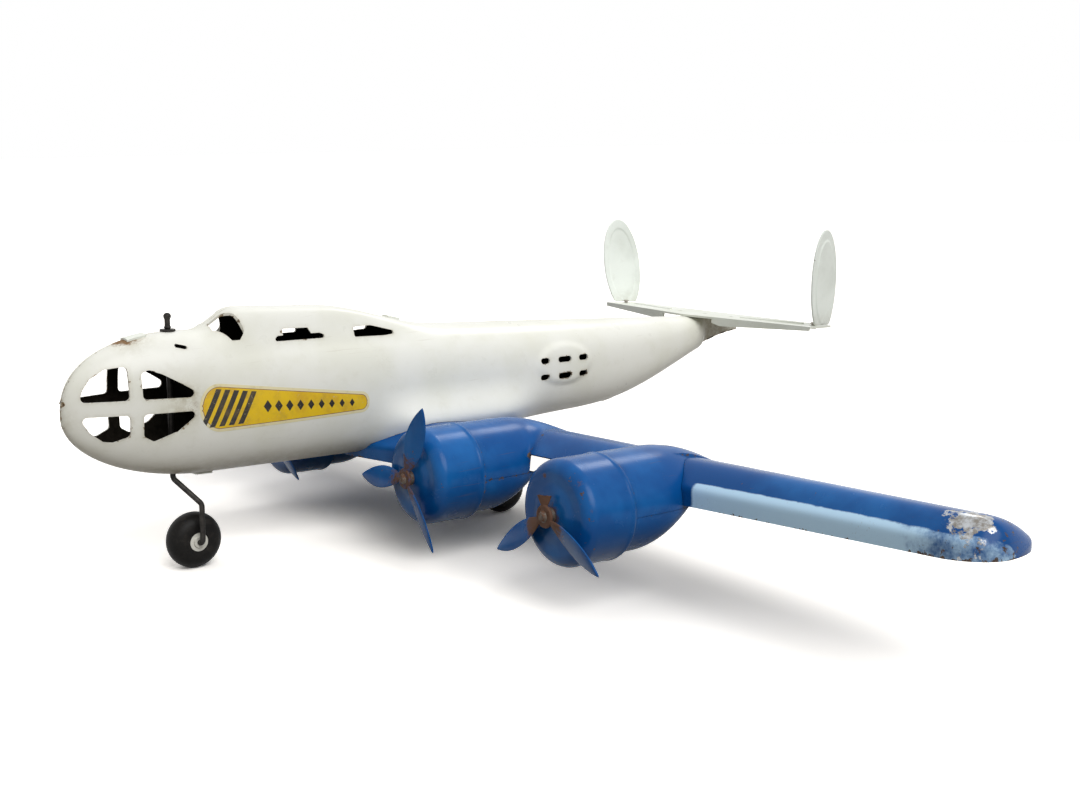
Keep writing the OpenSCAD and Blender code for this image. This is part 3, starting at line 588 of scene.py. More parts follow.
def edge_distance(piece: bpy.types.Object, spots: Array) -> Array:
    """Distance in millimetres from every point to the nearest sharp edge.

    Squared distances come from |a|² + |b|² − 2 a·b, a block of points at a time.

    Args:
        piece: the piece, with its sharp edges marked.
        spots: its points, as mesh_points gives them.

    Returns:
        One distance for each point, at most FAR.
    """
    mesh = piece.data
    mark = mesh.attributes.get("sharp_edge")
    sharp = np.zeros(len(mesh.edges), bool)
    if mark is not None:
        mark.data.foreach_get("value", sharp)
    ends = np.empty(len(mesh.edges) * 2, np.int32)
    mesh.edges.foreach_get("vertices", ends)
    ends = np.unique(ends.reshape(-1, 2)[sharp])
    if not len(ends):
        return np.full(len(spots), FAR)
    target = spots[ends]
    own = np.sum(target**2, axis=1)
    blocks = [np.min(np.sum(block**2, axis=1)[:, None] + own - 2.0 * block @ target.T, axis=1)
              for block in np.array_split(spots, max(len(spots) // 2000, 1))]
    return np.minimum(np.sqrt(np.maximum(np.concatenate(blocks), 0.0)), FAR)


def store(piece: bpy.types.Object, name: str, values: Array) -> None:
    """Stores one number on each of the piece's points, for a material to read."""
    layer = piece.data.attributes.new(name, "FLOAT", "POINT")
    layer.data.foreach_set("value", values.astype(np.float32))


def mark_wear(piece: bpy.types.Object, **rules: Rule) -> None:
    """Stores numbers on the piece's points for its enamel to read, each held between 0 and 1.5.

    Args:
        piece: the finished mesh.
        rules: by name, wear, stain (dirt, with painted shade on the body), pale
        (a painted floor reflection), bare or rust: gives the number from the
        points and their distance to a sharp edge.
    """
    spots = mesh_points(piece)
    rim = edge_distance(piece, spots)
    for name, rule in rules.items():
        store(piece, name, np.clip(rule(spots, rim), 0.0, 1.5))


def fringe(base: float, edge: float, reach: float) -> Rule:
    """A rule for mark_wear: a base number, and more beside sharp edges, within a few reaches."""
    return lambda spots, rim: base + edge * np.exp(-rim / reach)


def near(spots: Array, centre: Any, reach: float) -> Array:
    """A soft spot: 1 at a centre, falling as a bell to nothing at about twice its reach."""
    return np.exp(-np.sum((spots - np.array(centre)) ** 2, axis=1) / reach**2)


def hand_over(piece: bpy.types.Object, body: str, nodes: Sequence[str],
              materials: Sequence[bpy.types.Material]) -> None:
    """Dresses a piece, rides it on its body and lets it stand for its nodes.

    Materials are set by number, and never cleared, so that the faces inside a
    sheet keep theirs.

    Args:
        piece: the finished mesh.
        body: the body that it rides on.
        nodes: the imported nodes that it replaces, if any.
        materials: its materials, the outside first.
    """
    slots = piece.data.materials
    while len(slots) < len(materials):
        slots.append(None)
    for index, material in enumerate(materials):
        slots[index] = material
    while len(slots) > len(materials):
        slots.pop()
    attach(piece, body)
    if nodes:
        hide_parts(*nodes)
    LOG.info("%s: %d faces on %s", piece.name, len(piece.data.polygons), body)


def rounded_outline(corners: Sequence[tuple[float, float]], radius: float, count: int = 24) -> Array:
    """Outline around corners rounded by a radius: the hull of a circle at each corner.

    Args:
        corners: corner points in a plane.
        radius: the rounding.
        count: points on each circle.

    Returns:
        The outline's points in order.
    """
    turn = np.linspace(0.0, 2.0 * np.pi, count, endpoint=False)
    ring = radius * np.stack([np.cos(turn), np.sin(turn)], axis=1)
    cloud = (np.array(corners)[:, None] + ring).reshape(-1, 2)
    return cloud[geometry.convex_hull_2d([tuple(p) for p in cloud.tolist()])]


def prism(name: str, low: Array, high: Array) -> bpy.types.Object:
    """A closed block between two copies of an outline, used as a punch.

    Args:
        name: the object's name.
        low: the first copy, in airframe millimetres.
        high: the second copy.

    Returns:
        The block, with its faces outwards, not linked to the scene.
    """
    count = len(low)
    index = np.arange(count)
    beside = (index + 1) % count
    sides = np.stack([index, beside, beside + count, index + count], axis=1).tolist()
    mesh = bpy.data.meshes.new(name)
    mesh.from_pydata(STANCE.world(np.concatenate([low, high])).tolist(), [],
                     sides + [index.tolist(), (index + count).tolist()])
    with edited(mesh) as tool:
        bmesh.ops.recalc_face_normals(tool, faces=tool.faces)
    return bpy.data.objects.new(name, mesh)


def side_punch(corners: Sequence[tuple[float, float]], radius: float) -> bpy.types.Object:
    """A rounded window punched straight in from the port side, corners as (x, z)."""
    line = rounded_outline(corners, radius)
    return prism("window", *(points(line[:, 0], y, line[:, 1]) for y in (-60.0, 0.0)))


def top_punch(corners: Sequence[tuple[float, float]], radius: float, low: float,
              high: float) -> bpy.types.Object:
    """A rounded opening punched down from above, corners as (x, y)."""
    line = rounded_outline(corners, radius)
    return prism("opening", *(points(line[:, 0], line[:, 1], z) for z in (low, high)))


def closed_block(name: str, rings: Array) -> bpy.types.Object:
    """A closed block through rings of points, used as a punch.

    Args:
        name: the object's name.
        rings: grid of points in airframe millimetres, a ring in each row.

    Returns:
        The block, with its ends filled and its faces outwards, not linked to the scene.
    """
    rings = np.concatenate([rings, rings[:, :1]], axis=1)
    block = build_mesh(name, [rings], rings.reshape(-1, 3).mean(0))
    bpy.context.scene.collection.objects.unlink(block)
    with edited(block.data) as tool:
        bmesh.ops.holes_fill(tool, edges=[e for e in tool.edges if e.is_boundary])
        bmesh.ops.recalc_face_normals(tool, faces=tool.faces)
    return block


def punch(piece: bpy.types.Object, blocks: Sequence[bpy.types.Object]) -> None:
    """Cuts blocks out of a piece, for settle to apply, and leaves them in a collection.

    Args:
        piece: the piece to cut.
        blocks: closed blocks that aren't linked to the scene yet.
    """
    group = bpy.data.collections.new(piece.name + "_punches")
    for block in blocks:
        group.objects.link(block)
    cut = piece.modifiers.new("cut", "BOOLEAN")
    cut.operation = "DIFFERENCE"
    cut.operand_type = "COLLECTION"
    cut.collection = group
    cut.solver = "EXACT"


def clear_punches() -> None:
    """Removes every punch block and its collection."""
    for group in [c for c in bpy.data.collections if c.name.endswith("_punches")]:
        for block in list(group.objects):
            bpy.data.meshes.remove(block.data)
        bpy.data.collections.remove(group)


def mirrored(piece: bpy.types.Object, name: str) -> bpy.types.Object:
    """A copy of a finished piece on the other side of the centre plane, turned outwards.

    Args:
        piece: the piece to copy.
        name: the copy's name.

    Returns:
        The copy, linked to the scene.
    """
    mesh = piece.data.copy()
    mesh.name = name
    mesh.transform(Matrix.Diagonal((1.0, -1.0, 1.0, 1.0)))
    mesh.flip_normals()
    return linked(name, mesh)


def join(parts: Sequence[bpy.types.Object]) -> None:
    """Adds meshes to the first one, in the order given, and removes the others."""
    with edited(parts[0].data) as tool:
        for part in parts[1:]:
            tool.from_mesh(part.data)
    for part in parts[1:]:
        bpy.data.meshes.remove(part.data)


@dataclass(frozen=True)
class WingLines:
    """The wing's plan, dihedral and arch, and the engine nacelles on it."""

    wing_x: float = 146.0
    root_chord: float = 104.0
    le_sweep: float = 0.245
    bay_x: float = 194.0
    step_half: float = 8.0
    te_taper: float = 0.045
    low_z: float = 37.6
    flat_half: float = 30.0
    inner_rise: float = 0.031
    outer_rise: float = 0.05
    arch_h: float = 17.5
    half_span: float = 342.97
    tip_chord: float = 39.0
    tip_round: float = 20.0
    crest: float = 0.28
    lip: float = 0.45
    back_fall: float = 0.72
    inboard_y: float = 68.0
    outboard_y: float = 173.0
    cowl_r: float = 23.0
    cowl_x: float = 140.0
    cowl_len: float = 27.0
    top_flat: float = 25.0
    side_flat: float = 18.0
    tail_w: float = 9.0

    @property
    def cowl_back(self) -> float:
        """Where the cowling ends and the nacelle pressing starts."""
        return self.cowl_x + self.cowl_len

    @property
    def joint_y(self) -> float:
        """Where the outer panel's own taper and rise start."""
        return self.outboard_y + self.cowl_r

    @property
    def panel_y(self) -> float:
        """The seam between the centre pressing and the outer panel, behind the nacelle."""
        te = float(self.te_x(self.outboard_y))
        return self.outboard_y + float(self.nacelle_w(te, te))

    def le_x(self, y: Any) -> Array:
        """Leading edge: swept at the body, a step aft inside the inboard nacelle, square beyond."""
        y = np.abs(y)
        step_y = self.inboard_y - self.step_half
        swept = self.wing_x + self.le_sweep * np.minimum(y, step_y)
        return mix(swept, self.bay_x, np.clip((y - step_y) / (2.0 * self.step_half), 0.0, 1.0))

    def te_x(self, y: Any) -> Array:
        """Trailing edge: a slight taper to the joint, then a straight run to the tip."""
        y = np.abs(y)
        joint_te = self.wing_x + self.root_chord - self.te_taper * self.joint_y
        tip_te = self.le_x(self.half_span) + self.tip_chord
        outer = mix(joint_te, tip_te, (y - self.joint_y) / (self.half_span - self.joint_y))
        return np.where(y < self.joint_y, self.wing_x + self.root_chord - self.te_taper * y, outer)

    def edge_z(self, y: Any) -> Array:
        """Height of the wing's lower edge: level at the middle, then two slopes."""
        y = np.abs(y)
        inner = self.inner_rise * np.maximum(np.minimum(y, self.joint_y) - self.flat_half, 0.0)
        return -self.low_z + inner + self.outer_rise * np.maximum(y - self.joint_y, 0.0)

    def arch(self, t: Any) -> Array:
        """Share of the arch's height over the chord: a quarter sine up to the crest, then a fall."""
        t = np.clip(t, 0.0, 1.0)
        front = mix(self.lip, 1.0, np.sin(np.pi / 2.0 * np.minimum(t / self.crest, 1.0)))
        rear = 1.0 - self.back_fall * np.maximum((t - self.crest) / (1.0 - self.crest), 0.0) ** 1.7
        return np.where(t < self.crest, front, rear)

    def arch_at(self, x: Any, y: Any) -> Array:
        """Height of the arch over the lower edge at a place, 0 ahead of the leading edge."""
        t = (x - self.le_x(y)) / (self.te_x(y) - self.le_x(y))
        return self.arch_h * self.arch(t) * (t >= -1e-9)

    def nacelle_h(self, x: Any, te: Any) -> Array:
        """Nacelle height: full for a way behind the cowling, then a cosine down to the tail."""
        start = self.cowl_back + self.top_flat
        t = np.clip((x - start) / (te + 2.0 - start), 0.0, 1.0)
        return self.cowl_r * np.cos(np.radians(86.0) * t**1.05)

    def nacelle_w(self, x: Any, te: Any) -> Array:
        """Nacelle half width: a smoothstep from the cowling's radius to the narrow tail."""
        return mix(self.cowl_r, self.tail_w, smooth(self.cowl_back + self.side_flat, te + 6.0, x))

    def nacelle_at(self, x: Any, y: Any, engine: float) -> Array:
        """Height of a nacelle's half ellipse over the lower edge, 0 beyond its width."""
        te = self.te_x(engine)
        across = (y - engine) / self.nacelle_w(x, te)
        inside = np.sqrt(np.maximum(1.0 - across**2, 0.0))
        return self.nacelle_h(x, te) * inside * (x <= te - 2.0)

    def lifted(self, x: Any, y: Any, h: Any) -> Array:
        """Points at a height over the wing's lower edge."""
        return points(x, y, self.edge_z(y) + h)

    def shaft(self, y: float, x: float) -> Array:
        """The point at x on the shaft line of the engine at y."""
        return np.array([x, y, float(self.edge_z(y))])

    def from_shaft(self, spots: Array, y: float) -> Array:
        """Distance of points from the shaft line of the engine at y."""
        return np.hypot(spots[:, 1] - y, spots[:, 2] - float(self.edge_z(y)))


WING = WingLines()


@dataclass(frozen=True)
class Fuselage:
    """Two mirrored pressings that meet on the centre plane."""

    length: float = STANCE.body_len
    half_w: float = 24.0
    shoulder_z: float = 32.5
    tail_top_z: float = 17.7
    belly_z: float = 35.6
    tail_tip_z: float = 8.5
    keel_rise: float = 8.3
    keel_rise_x: tuple[float, float] = (150.0, 310.0)
    keel_sweep_x: float = 285.0
    wall: float = 1.0
    nose_len: float = 58.0
    nose_side_len: float = 145.0
    tip_z: float = -3.0
    squareness: float = 2.3
    taper_x: float = 240.0
    tail_end_x: float = 388.0
    tail_w: float = 9.5
    tail_keel_w: float = 1.7
    hump_h: float = 10.6
    hump_x: float = 62.0
    hump_rise: float = 23.0
    hump_fall_x: tuple[float, float] = (128.0, 199.0)
    hump_top_w: float = 7.5
    hump_foot_w: float = 17.5
    waist_bulge: float = 1.4
    waist: tuple[float, float] = (271.0, 2.2)
    waist_size: tuple[float, float] = (43.0, 25.0)
    root_flare: float = 9.0
    root_rise_x: tuple[float, float] = (144.0, 176.0)
    root_fall_x: tuple[float, float] = (222.0, 262.0)
    root_z: tuple[float, float] = (-21.0, 2.0)
    seam_gap: float = 0.08
    crease: float = 0.3
    strut_x: float = 51.6
    strut_hole_r: float = 1.38
    waist_hole_r: float = 1.6

    def top_z(self, x: Any) -> Array:
        """Top line: a quarter superellipse over the nose, then a straight fall to the tail."""
        nose = mix(self.tip_z, self.shoulder_z, round_up(x, self.nose_len, 2.35))
        back = mix(self.shoulder_z, self.tail_top_z, (x - self.nose_len) / (self.length - self.nose_len))
        return np.where(x < self.nose_len, nose, back)

    def low_z(self, x: Any) -> Array:
        """Belly line: level, a gentle rise past the wing, then the sweep up to the tail."""
        keel = -self.belly_z + self.keel_rise * smooth(*self.keel_rise_x, x)
        sweep = smooth(self.keel_sweep_x, self.length + 6.0, x) ** 1.3
        keel = keel + (self.tail_tip_z + self.belly_z - self.keel_rise) * sweep
        return mix(self.tip_z, keel, round_up(x, self.nose_len + 8.0, 2.0))

    def side_w(self, x: Any) -> Array:
        """Half width in plan: rounded nose, long taper, and a narrow keel at the tail."""
        run = np.maximum((x - self.taper_x) / (self.tail_end_x + 12.0 - self.taper_x), 0.0)
        back = mix(self.half_w - (self.half_w - self.tail_w) * run**1.6, self.tail_keel_w,
                   smooth(self.tail_end_x + 1.0, self.tail_end_x + 13.0, x))
        return np.where(x < self.taper_x, self.half_w * round_up(x, self.nose_side_len, 2.0), back)

    def hump(self, x: Any) -> Array:
        """Canopy height over the shoulder line along the body."""
        rise = smooth(self.hump_x, self.hump_x + self.hump_rise, x)
        return self.hump_h * rise * (1.0 - smooth(*self.hump_fall_x, x))

    def swell(self, x: Any, y: Any, z: Any) -> Array:
        """How far the waist panel and the wing root fillet stand out sideways."""
        off = np.hypot((x - self.waist[0]) / (self.waist_size[0] / 2.0),
                       (z - self.waist[1]) / (self.waist_size[1] / 2.0))
        panel = self.waist_bulge * (1.0 - smooth(0.72, 1.0, off)) * smooth(8.0, 16.0, y)
        root = self.root_flare * smooth(*self.root_rise_x, x) * (1.0 - smooth(*self.root_fall_x, x))
        return panel + root * (1.0 - smooth(*self.root_z, z)) ** 1.7 * smooth(4.0, 18.0, y)

    def skin(self, x: Any, angle: Any) -> Array:
        """Port half's outer surface as a function of station and angle.

        A section is a superellipse between the top and belly lines, with the
        canopy's flat-topped hump added over it, the waist panel and wing root
        swelling its side, and a shallow crease along the centre seam.

        Args:
            x: station from the nose tip.
            angle: degrees from straight up, 0 to 180.

        Returns:
            Points in the airframe's frame.
        """
        a = np.radians(angle)
        w, top, low = np.maximum(self.side_w(x), 0.02), self.top_z(x), self.low_z(x)
        middle, half = (top + low) / 2.0, np.maximum((top - low) / 2.0, 0.02)
        power = 2.0 / self.squareness
        y = w * np.sin(np.clip(a, 0.0, np.pi)) ** power
        z = middle + half * signed_power(np.cos(a), power)
        upper = np.where(np.asarray(angle) < 90.0, 1.0, 0.0)
        z = z + upper * self.hump(x) * (1.0 - smooth(self.hump_top_w, self.hump_foot_w, y))
        crease = self.crease * (1.0 - smooth(0.0, 0.7, y)) * np.minimum(half / 6.0, 1.0)
        z = z - np.sign(np.cos(a)) * crease
        return points(x, -np.maximum(y + self.swell(x, y, z), self.seam_gap), z)

    def side_at(self, x: Any, z: Any) -> Array:
        """Half width of the plain section at a station and height, by the superellipse's rule."""
        top, low = self.top_z(x), self.low_z(x)
        middle, half = (top + low) / 2.0, (top - low) / 2.0
        ratio = np.clip(np.abs((z - middle) / half), 0.0, 1.0)
        return self.side_w(x) * (1.0 - ratio**self.squareness) ** (1.0 / self.squareness)

    def stations(self) -> Array:
        """Stations along the body, closer together over the rounded nose."""
        turn = np.linspace(0.0, np.pi / 2.0, 40)
        nose = self.nose_len * (1.0 - np.cos(turn))
        return np.concatenate([nose, np.linspace(self.nose_len, self.length, 222)[1:]])

    def angles(self) -> Array:
        """Angles round the half, closer together beside the seam."""
        edge = np.array([0.0, 0.35, 0.8, 1.4])
        return np.concatenate([edge, np.linspace(2.4, 177.6, 72), 180.0 - edge[::-1]])

    def punches(self) -> list[bpy.types.Object]:
        """The blocks for every opening of the port half."""
        r, bar, post, bar_z, post_x = 2.0, 3.3, 2.8, 0.6, 29.6
        front, rear = post_x - post - r, post_x + post + r
        up, down = bar_z + bar + r, bar_z - bar - r
        nose = (
            [(8.8, up), (9.6, up + 2.6), (12.4, 12.6), (18.0, 16.2), (front, 17.0), (front, up)],
            [(9.2, down), (11.5, down - 3.8), (16.4, -12.4), (19.5, -12.8), (front, -11.0), (front, down)],
            [(rear, up), (rear, 14.4), (rear + 1.6, 15.0), (41.0, 13.0), (49.0, 8.4), (53.4, up - 0.3)],
            [(rear, down), (rear, -11.8), (37.4, -13.6), (47.0, -9.9), (53.4, down)])
        screen = [(70.5, -4.0), (76.0, -4.0), (82.6, -12.4), (79.0, -14.0), (70.5, -8.5)]
        cabin = (
            [(100.0, 26.6), (124.5, 26.6), (123.0, 27.2), (101.0, 27.2)],
            [(104.4, 26.6), (104.4, 30.2), (116.6, 30.0), (118.4, 26.6)],
            [(143.4, 25.8), (143.6, 28.6), (153.0, 28.8), (160.0, 26.8), (164.8, 25.7), (160.0, 25.4)])
        blocks = [side_punch(corners, r) for corners in nose]
        blocks.append(top_punch(screen, 1.0, 27.5, 57.5))
        blocks += [side_punch(corners, 1.0) for corners in cabin]
        blocks += [side_punch([(50.5, 26.8), (54.5, 25.8)], 0.8),
                   top_punch([(self.strut_x, 0.0)], self.strut_hole_r, -60.0, 60.0), self.wing_punch()]
        for x, width in ((256.0, 5.5), (270.0, 9.6), (284.0, 6.9)):
            reach = width / 2.0 - self.waist_hole_r
            blocks += [side_punch([(x - reach, z), (x + reach, z)], self.waist_hole_r) for z in (4.7, -4.2)]
        return blocks

    def wing_punch(self) -> bpy.types.Object:
        """The block of the wing under the body, with its arch for a roof and a 0.1 mm gap."""
        t = runs((0.0, 0.0, 1), (0.0, 1.0, 40), (1.0, 1.0, 1))
        gap, depth = 0.1, 33.0
        rise = WING.arch_h * WING.arch(t) + gap
        rise[[0, -1]] = -depth
        spans = []
        for y in (WING.step_half - WING.inboard_y, -WING.flat_half, 0.5):
            x = mix(WING.le_x(y) - gap, WING.te_x(y) + gap, t)
            spans.append(WING.lifted(x, y, rise))
        return closed_block("wing_block", np.stack(spans))

    def wear(self, spots: Array, rim: Array) -> Array:
        """Wear along openings and edges, on the nose and on the belly seam."""
        edge = 0.42 * np.exp(-rim / 0.7)
        nose = 0.3 * np.exp(-spots[:, 0] / 5.0)
        return 0.05 + edge + nose + 0.35 * near(spots, (35.0, 0.0, 30.0), 7.0)

    def rust(self, spots: Array, rim: Array) -> Array:
        """Rust through the blister on the nose top, and a streak ahead of the label."""
        streak = 0.7 * near(spots * np.array([1.0, 0.0, 1.0]), (54.5, 0.0, -1.0), 3.0)
        return 1.2 * near(spots, (31.0, 0.0, 29.0), 7.5) + streak

    def stain(self, spots: Array, rim: Array) -> Array:
        """Brown dirt round the nose bars just ahead of the label, on the blister, low on the nose tip and
        along edges; dirt mixed with painted shade darkens the belly and the narrow tail end.
        """
        bars = 0.5 * near(spots, (52.0, -17.0, 0.6), 9.0) + 0.5 * near(spots, (52.0, 17.0, 0.6), 9.0)
        blister = 0.8 * near(spots, (33.0, 0.0, 29.0), 8.0)
        # painted shade mixed with dirt, darker towards the belly; a dirt spot low on the nose tip
        belly = 0.35 * smooth(-22.0, -36.0, spots[:, 2]) + 0.5 * near(spots, (4.0, 0.0, -4.0), 5.0)
        # painted shade mixed with brown dirt on the narrow tail end under the tailplane
        tail = 0.55 * smooth(388.0, 404.0, spots[:, 0])
        return bars + blister + belly + tail + 0.35 * np.exp(-rim / 0.8)

    def core(self, spots: Array) -> Array:
        """Points on the body's middle line, beside points of its skin."""
        x = spots[..., 0]
        return points(np.maximum(x, 20.0), 0.0, (self.top_z(x) + self.low_z(x)) / 2.0)

    def build(self, finishes: Finishes) -> None:
        """Builds both halves and hands them over."""
        x, a = np.meshgrid(self.stations(), self.angles(), indexing="ij")
        port = build_mesh("fuselage_port_skin", [self.skin(x, a)], self.core)
        thicken(port, self.wall)
        punch(port, self.punches())
        settle(port, sharp=34.0)
        mark_wear(port, wear=self.wear, stain=self.stain, rust=self.rust)
        starboard = mirrored(port, "fuselage_starboard_skin")
        for piece, side in ((port, Side.PORT), (starboard, Side.STARBOARD)):
            hand_over(piece, "airframe", [f"fuselage_{side.word}_half"],
                      finishes.white_sheet)


BODY = Fuselage()


@dataclass(frozen=True)
class CentreWing:
    """The blue pressing from outboard nacelle to outboard nacelle."""

    wall: float = 1.0
    fillet: float = 6.0
    skirt: float = 0.6
    seam_w: float = 0.24
    mid_x: float = 200.0

    def height(self, x: Array, y: Array, engine: float) -> Array:
        """Wing and nacelle joined by a fillet, which starts behind the leading edge."""
        wing = WING.edge_z(y) + WING.arch_at(x, y)
        pod = float(WING.edge_z(engine)) + WING.nacelle_at(x, y, engine)
        there = (x >= WING.le_x(y) - 1e-6) & (np.abs(y) < WING.panel_y)
        fillet = 0.02 + self.fillet * smooth(0.0, 4.0, x - WING.le_x(y))
        return np.where(there, fillet_max(wing, pod, fillet), pod)

    def nacelle(self, engine: float) -> Array:
        """One starboard nacelle as a grid over chord and width.

        Columns follow y = engine − w cos θ over the pressing, so that they close up
        at the sides; outboard, a pair of columns straddles the outer panel's seam.
        """
        te = float(WING.te_x(engine))
        chord = runs((WING.cowl_back, te, 70), (te, te, 5))[:, None]
        fall = runs((1.0, 1.0, 70), (0.8, 0.0, 5))[:, None]
        w = WING.nacelle_w(chord, te)
        if engine == WING.outboard_y:
            seam = WING.panel_y - self.seam_w / 2.0
            inner = engine - w * np.cos(np.linspace(0.0, np.pi / 2.0, 30))
            middle = mix(engine, seam, np.linspace(0.0, 1.0, 12)[1:]) + 0.0 * w
            reach = np.maximum(engine + w - seam - self.seam_w, 0.0)
            outer = seam + self.seam_w + reach * np.sin(np.linspace(0.0, np.pi / 2.0, 24))
            y = np.concatenate([inner, middle, outer], axis=1)
        else:
            y = engine - w * np.cos(np.linspace(0.0, np.pi, 64))
        x = chord + 0.0 * y + np.where(chord >= te, WING.te_x(y) - te, 0.0)
        low = np.where(np.abs(y) < WING.panel_y, WING.edge_z(y), float(WING.edge_z(engine)))
        top = self.height(np.minimum(x, WING.te_x(y)), y, engine)
        grid = points(x, y, mix(np.minimum(low, top), top, fall))
        skirt = [grid[:, i] - np.array([0.0, 0.0, self.skirt]) for i in (0, -1)]
        return np.concatenate([skirt[0][:, None], grid, skirt[1][:, None]], axis=1)

    def between(self, from_y: Callable[[Array], Array], to_y: Callable[[Array], Array], columns: int,
                x_start: float | None) -> Array:
        """A patch of plain wing between two side lines, with its trailing face.

        Side lines depend on x and the edges on y, so four passes of putting one
        into the other settle both.

        Args:
            from_y: the inner side line as a function of x.
            to_y: the outer side line as a function of x.
            columns: points across.
            x_start: where the patch starts, or the leading edge if None.

        Returns:
            The grid.
        """
        share = np.linspace(0.0, 1.0, columns)
        t = runs((0.0, 1.0, 64), (1.0, 1.0, 4))[:, None]
        fall = runs((1.0, 1.0, 64), (0.75, 0.0, 4))[:, None]
        x = np.full((len(t), columns), self.mid_x)
        for _ in range(4):
            y = mix(from_y(x), to_y(x), share)
            start = WING.le_x(y) if x_start is None else x_start
            x = mix(start, WING.te_x(y), t)
        return WING.lifted(x, y, WING.arch_at(x, y) * fall)

    def root_front(self) -> Array:
        """The patch ahead of the nacelle, wrapped over the side of the inboard cowling."""
        share = np.linspace(-1.0, 1.0, 80)
        t = runs((0.0, 0.0, 6), (0.0, 1.0, 18))[:, None]
        fall = runs((0.0, 0.85, 6), (1.0, 1.0, 18))[:, None]
        y = np.broadcast_to(share * 45.0, (len(t), len(share)))
        for _ in range(4):
            x = mix(WING.le_x(y), WING.cowl_back, t)
            h = WING.arch_at(x, y) * fall
            y = share * (WING.inboard_y - np.sqrt((WING.cowl_r + 0.5) ** 2 - h**2))
        return soften(WING.lifted(x, y, h))

    def core(self, spots: Array) -> Array:
        """Points under the sheet and towards its middle, for its faces to look away from."""
        return spots - points(0.3 * np.sign(spots[..., 0] - self.mid_x), 0.0, 1.0)

    def build(self, finishes: Finishes) -> None:
        """Builds the pressing as one piece of welded patches."""
        te_in, te_out = float(WING.te_x(WING.inboard_y)), float(WING.te_x(WING.outboard_y))
        inner = lambda x: WING.inboard_y - WING.nacelle_w(x, te_in)
        patches = [self.root_front(), self.between(lambda x: -inner(x), inner, 80, WING.cowl_back)]
        half = [self.nacelle(WING.inboard_y), self.nacelle(WING.outboard_y),
                self.between(lambda x: WING.inboard_y + WING.nacelle_w(x, te_in),
                             lambda x: WING.outboard_y - WING.nacelle_w(x, te_out), 48, None)]
        for patch in half:
            patches += [patch, patch * np.array([1.0, -1.0, 1.0])]
        piece = build_mesh("wing_centre_skin", patches, self.core)
        thicken(piece, self.wall)
        settle(piece, sharp=34.0)
        mark_wear(piece, wear=fringe(0.10, 0.3, 0.8), stain=fringe(0.0, 0.25, 1.5))
        hand_over(piece, "airframe", ["wing_centre_pressing"], finishes.blue_sheet)


def soften(grid: Array, passes: int = 2) -> Array:
    """Rounds a section's corners by a running 1-2-1 mean down the grid's rows.

    Args:
        grid: rows by columns by 3.
        passes: how many times.

    Returns:
        The grid, with its first and last rows where they were.
    """
    for _ in range(passes):
        grid = np.concatenate([grid[:1], (grid[:-2] + 2.0 * grid[1:-1] + grid[2:]) / 4.0, grid[-1:]])
    return grid


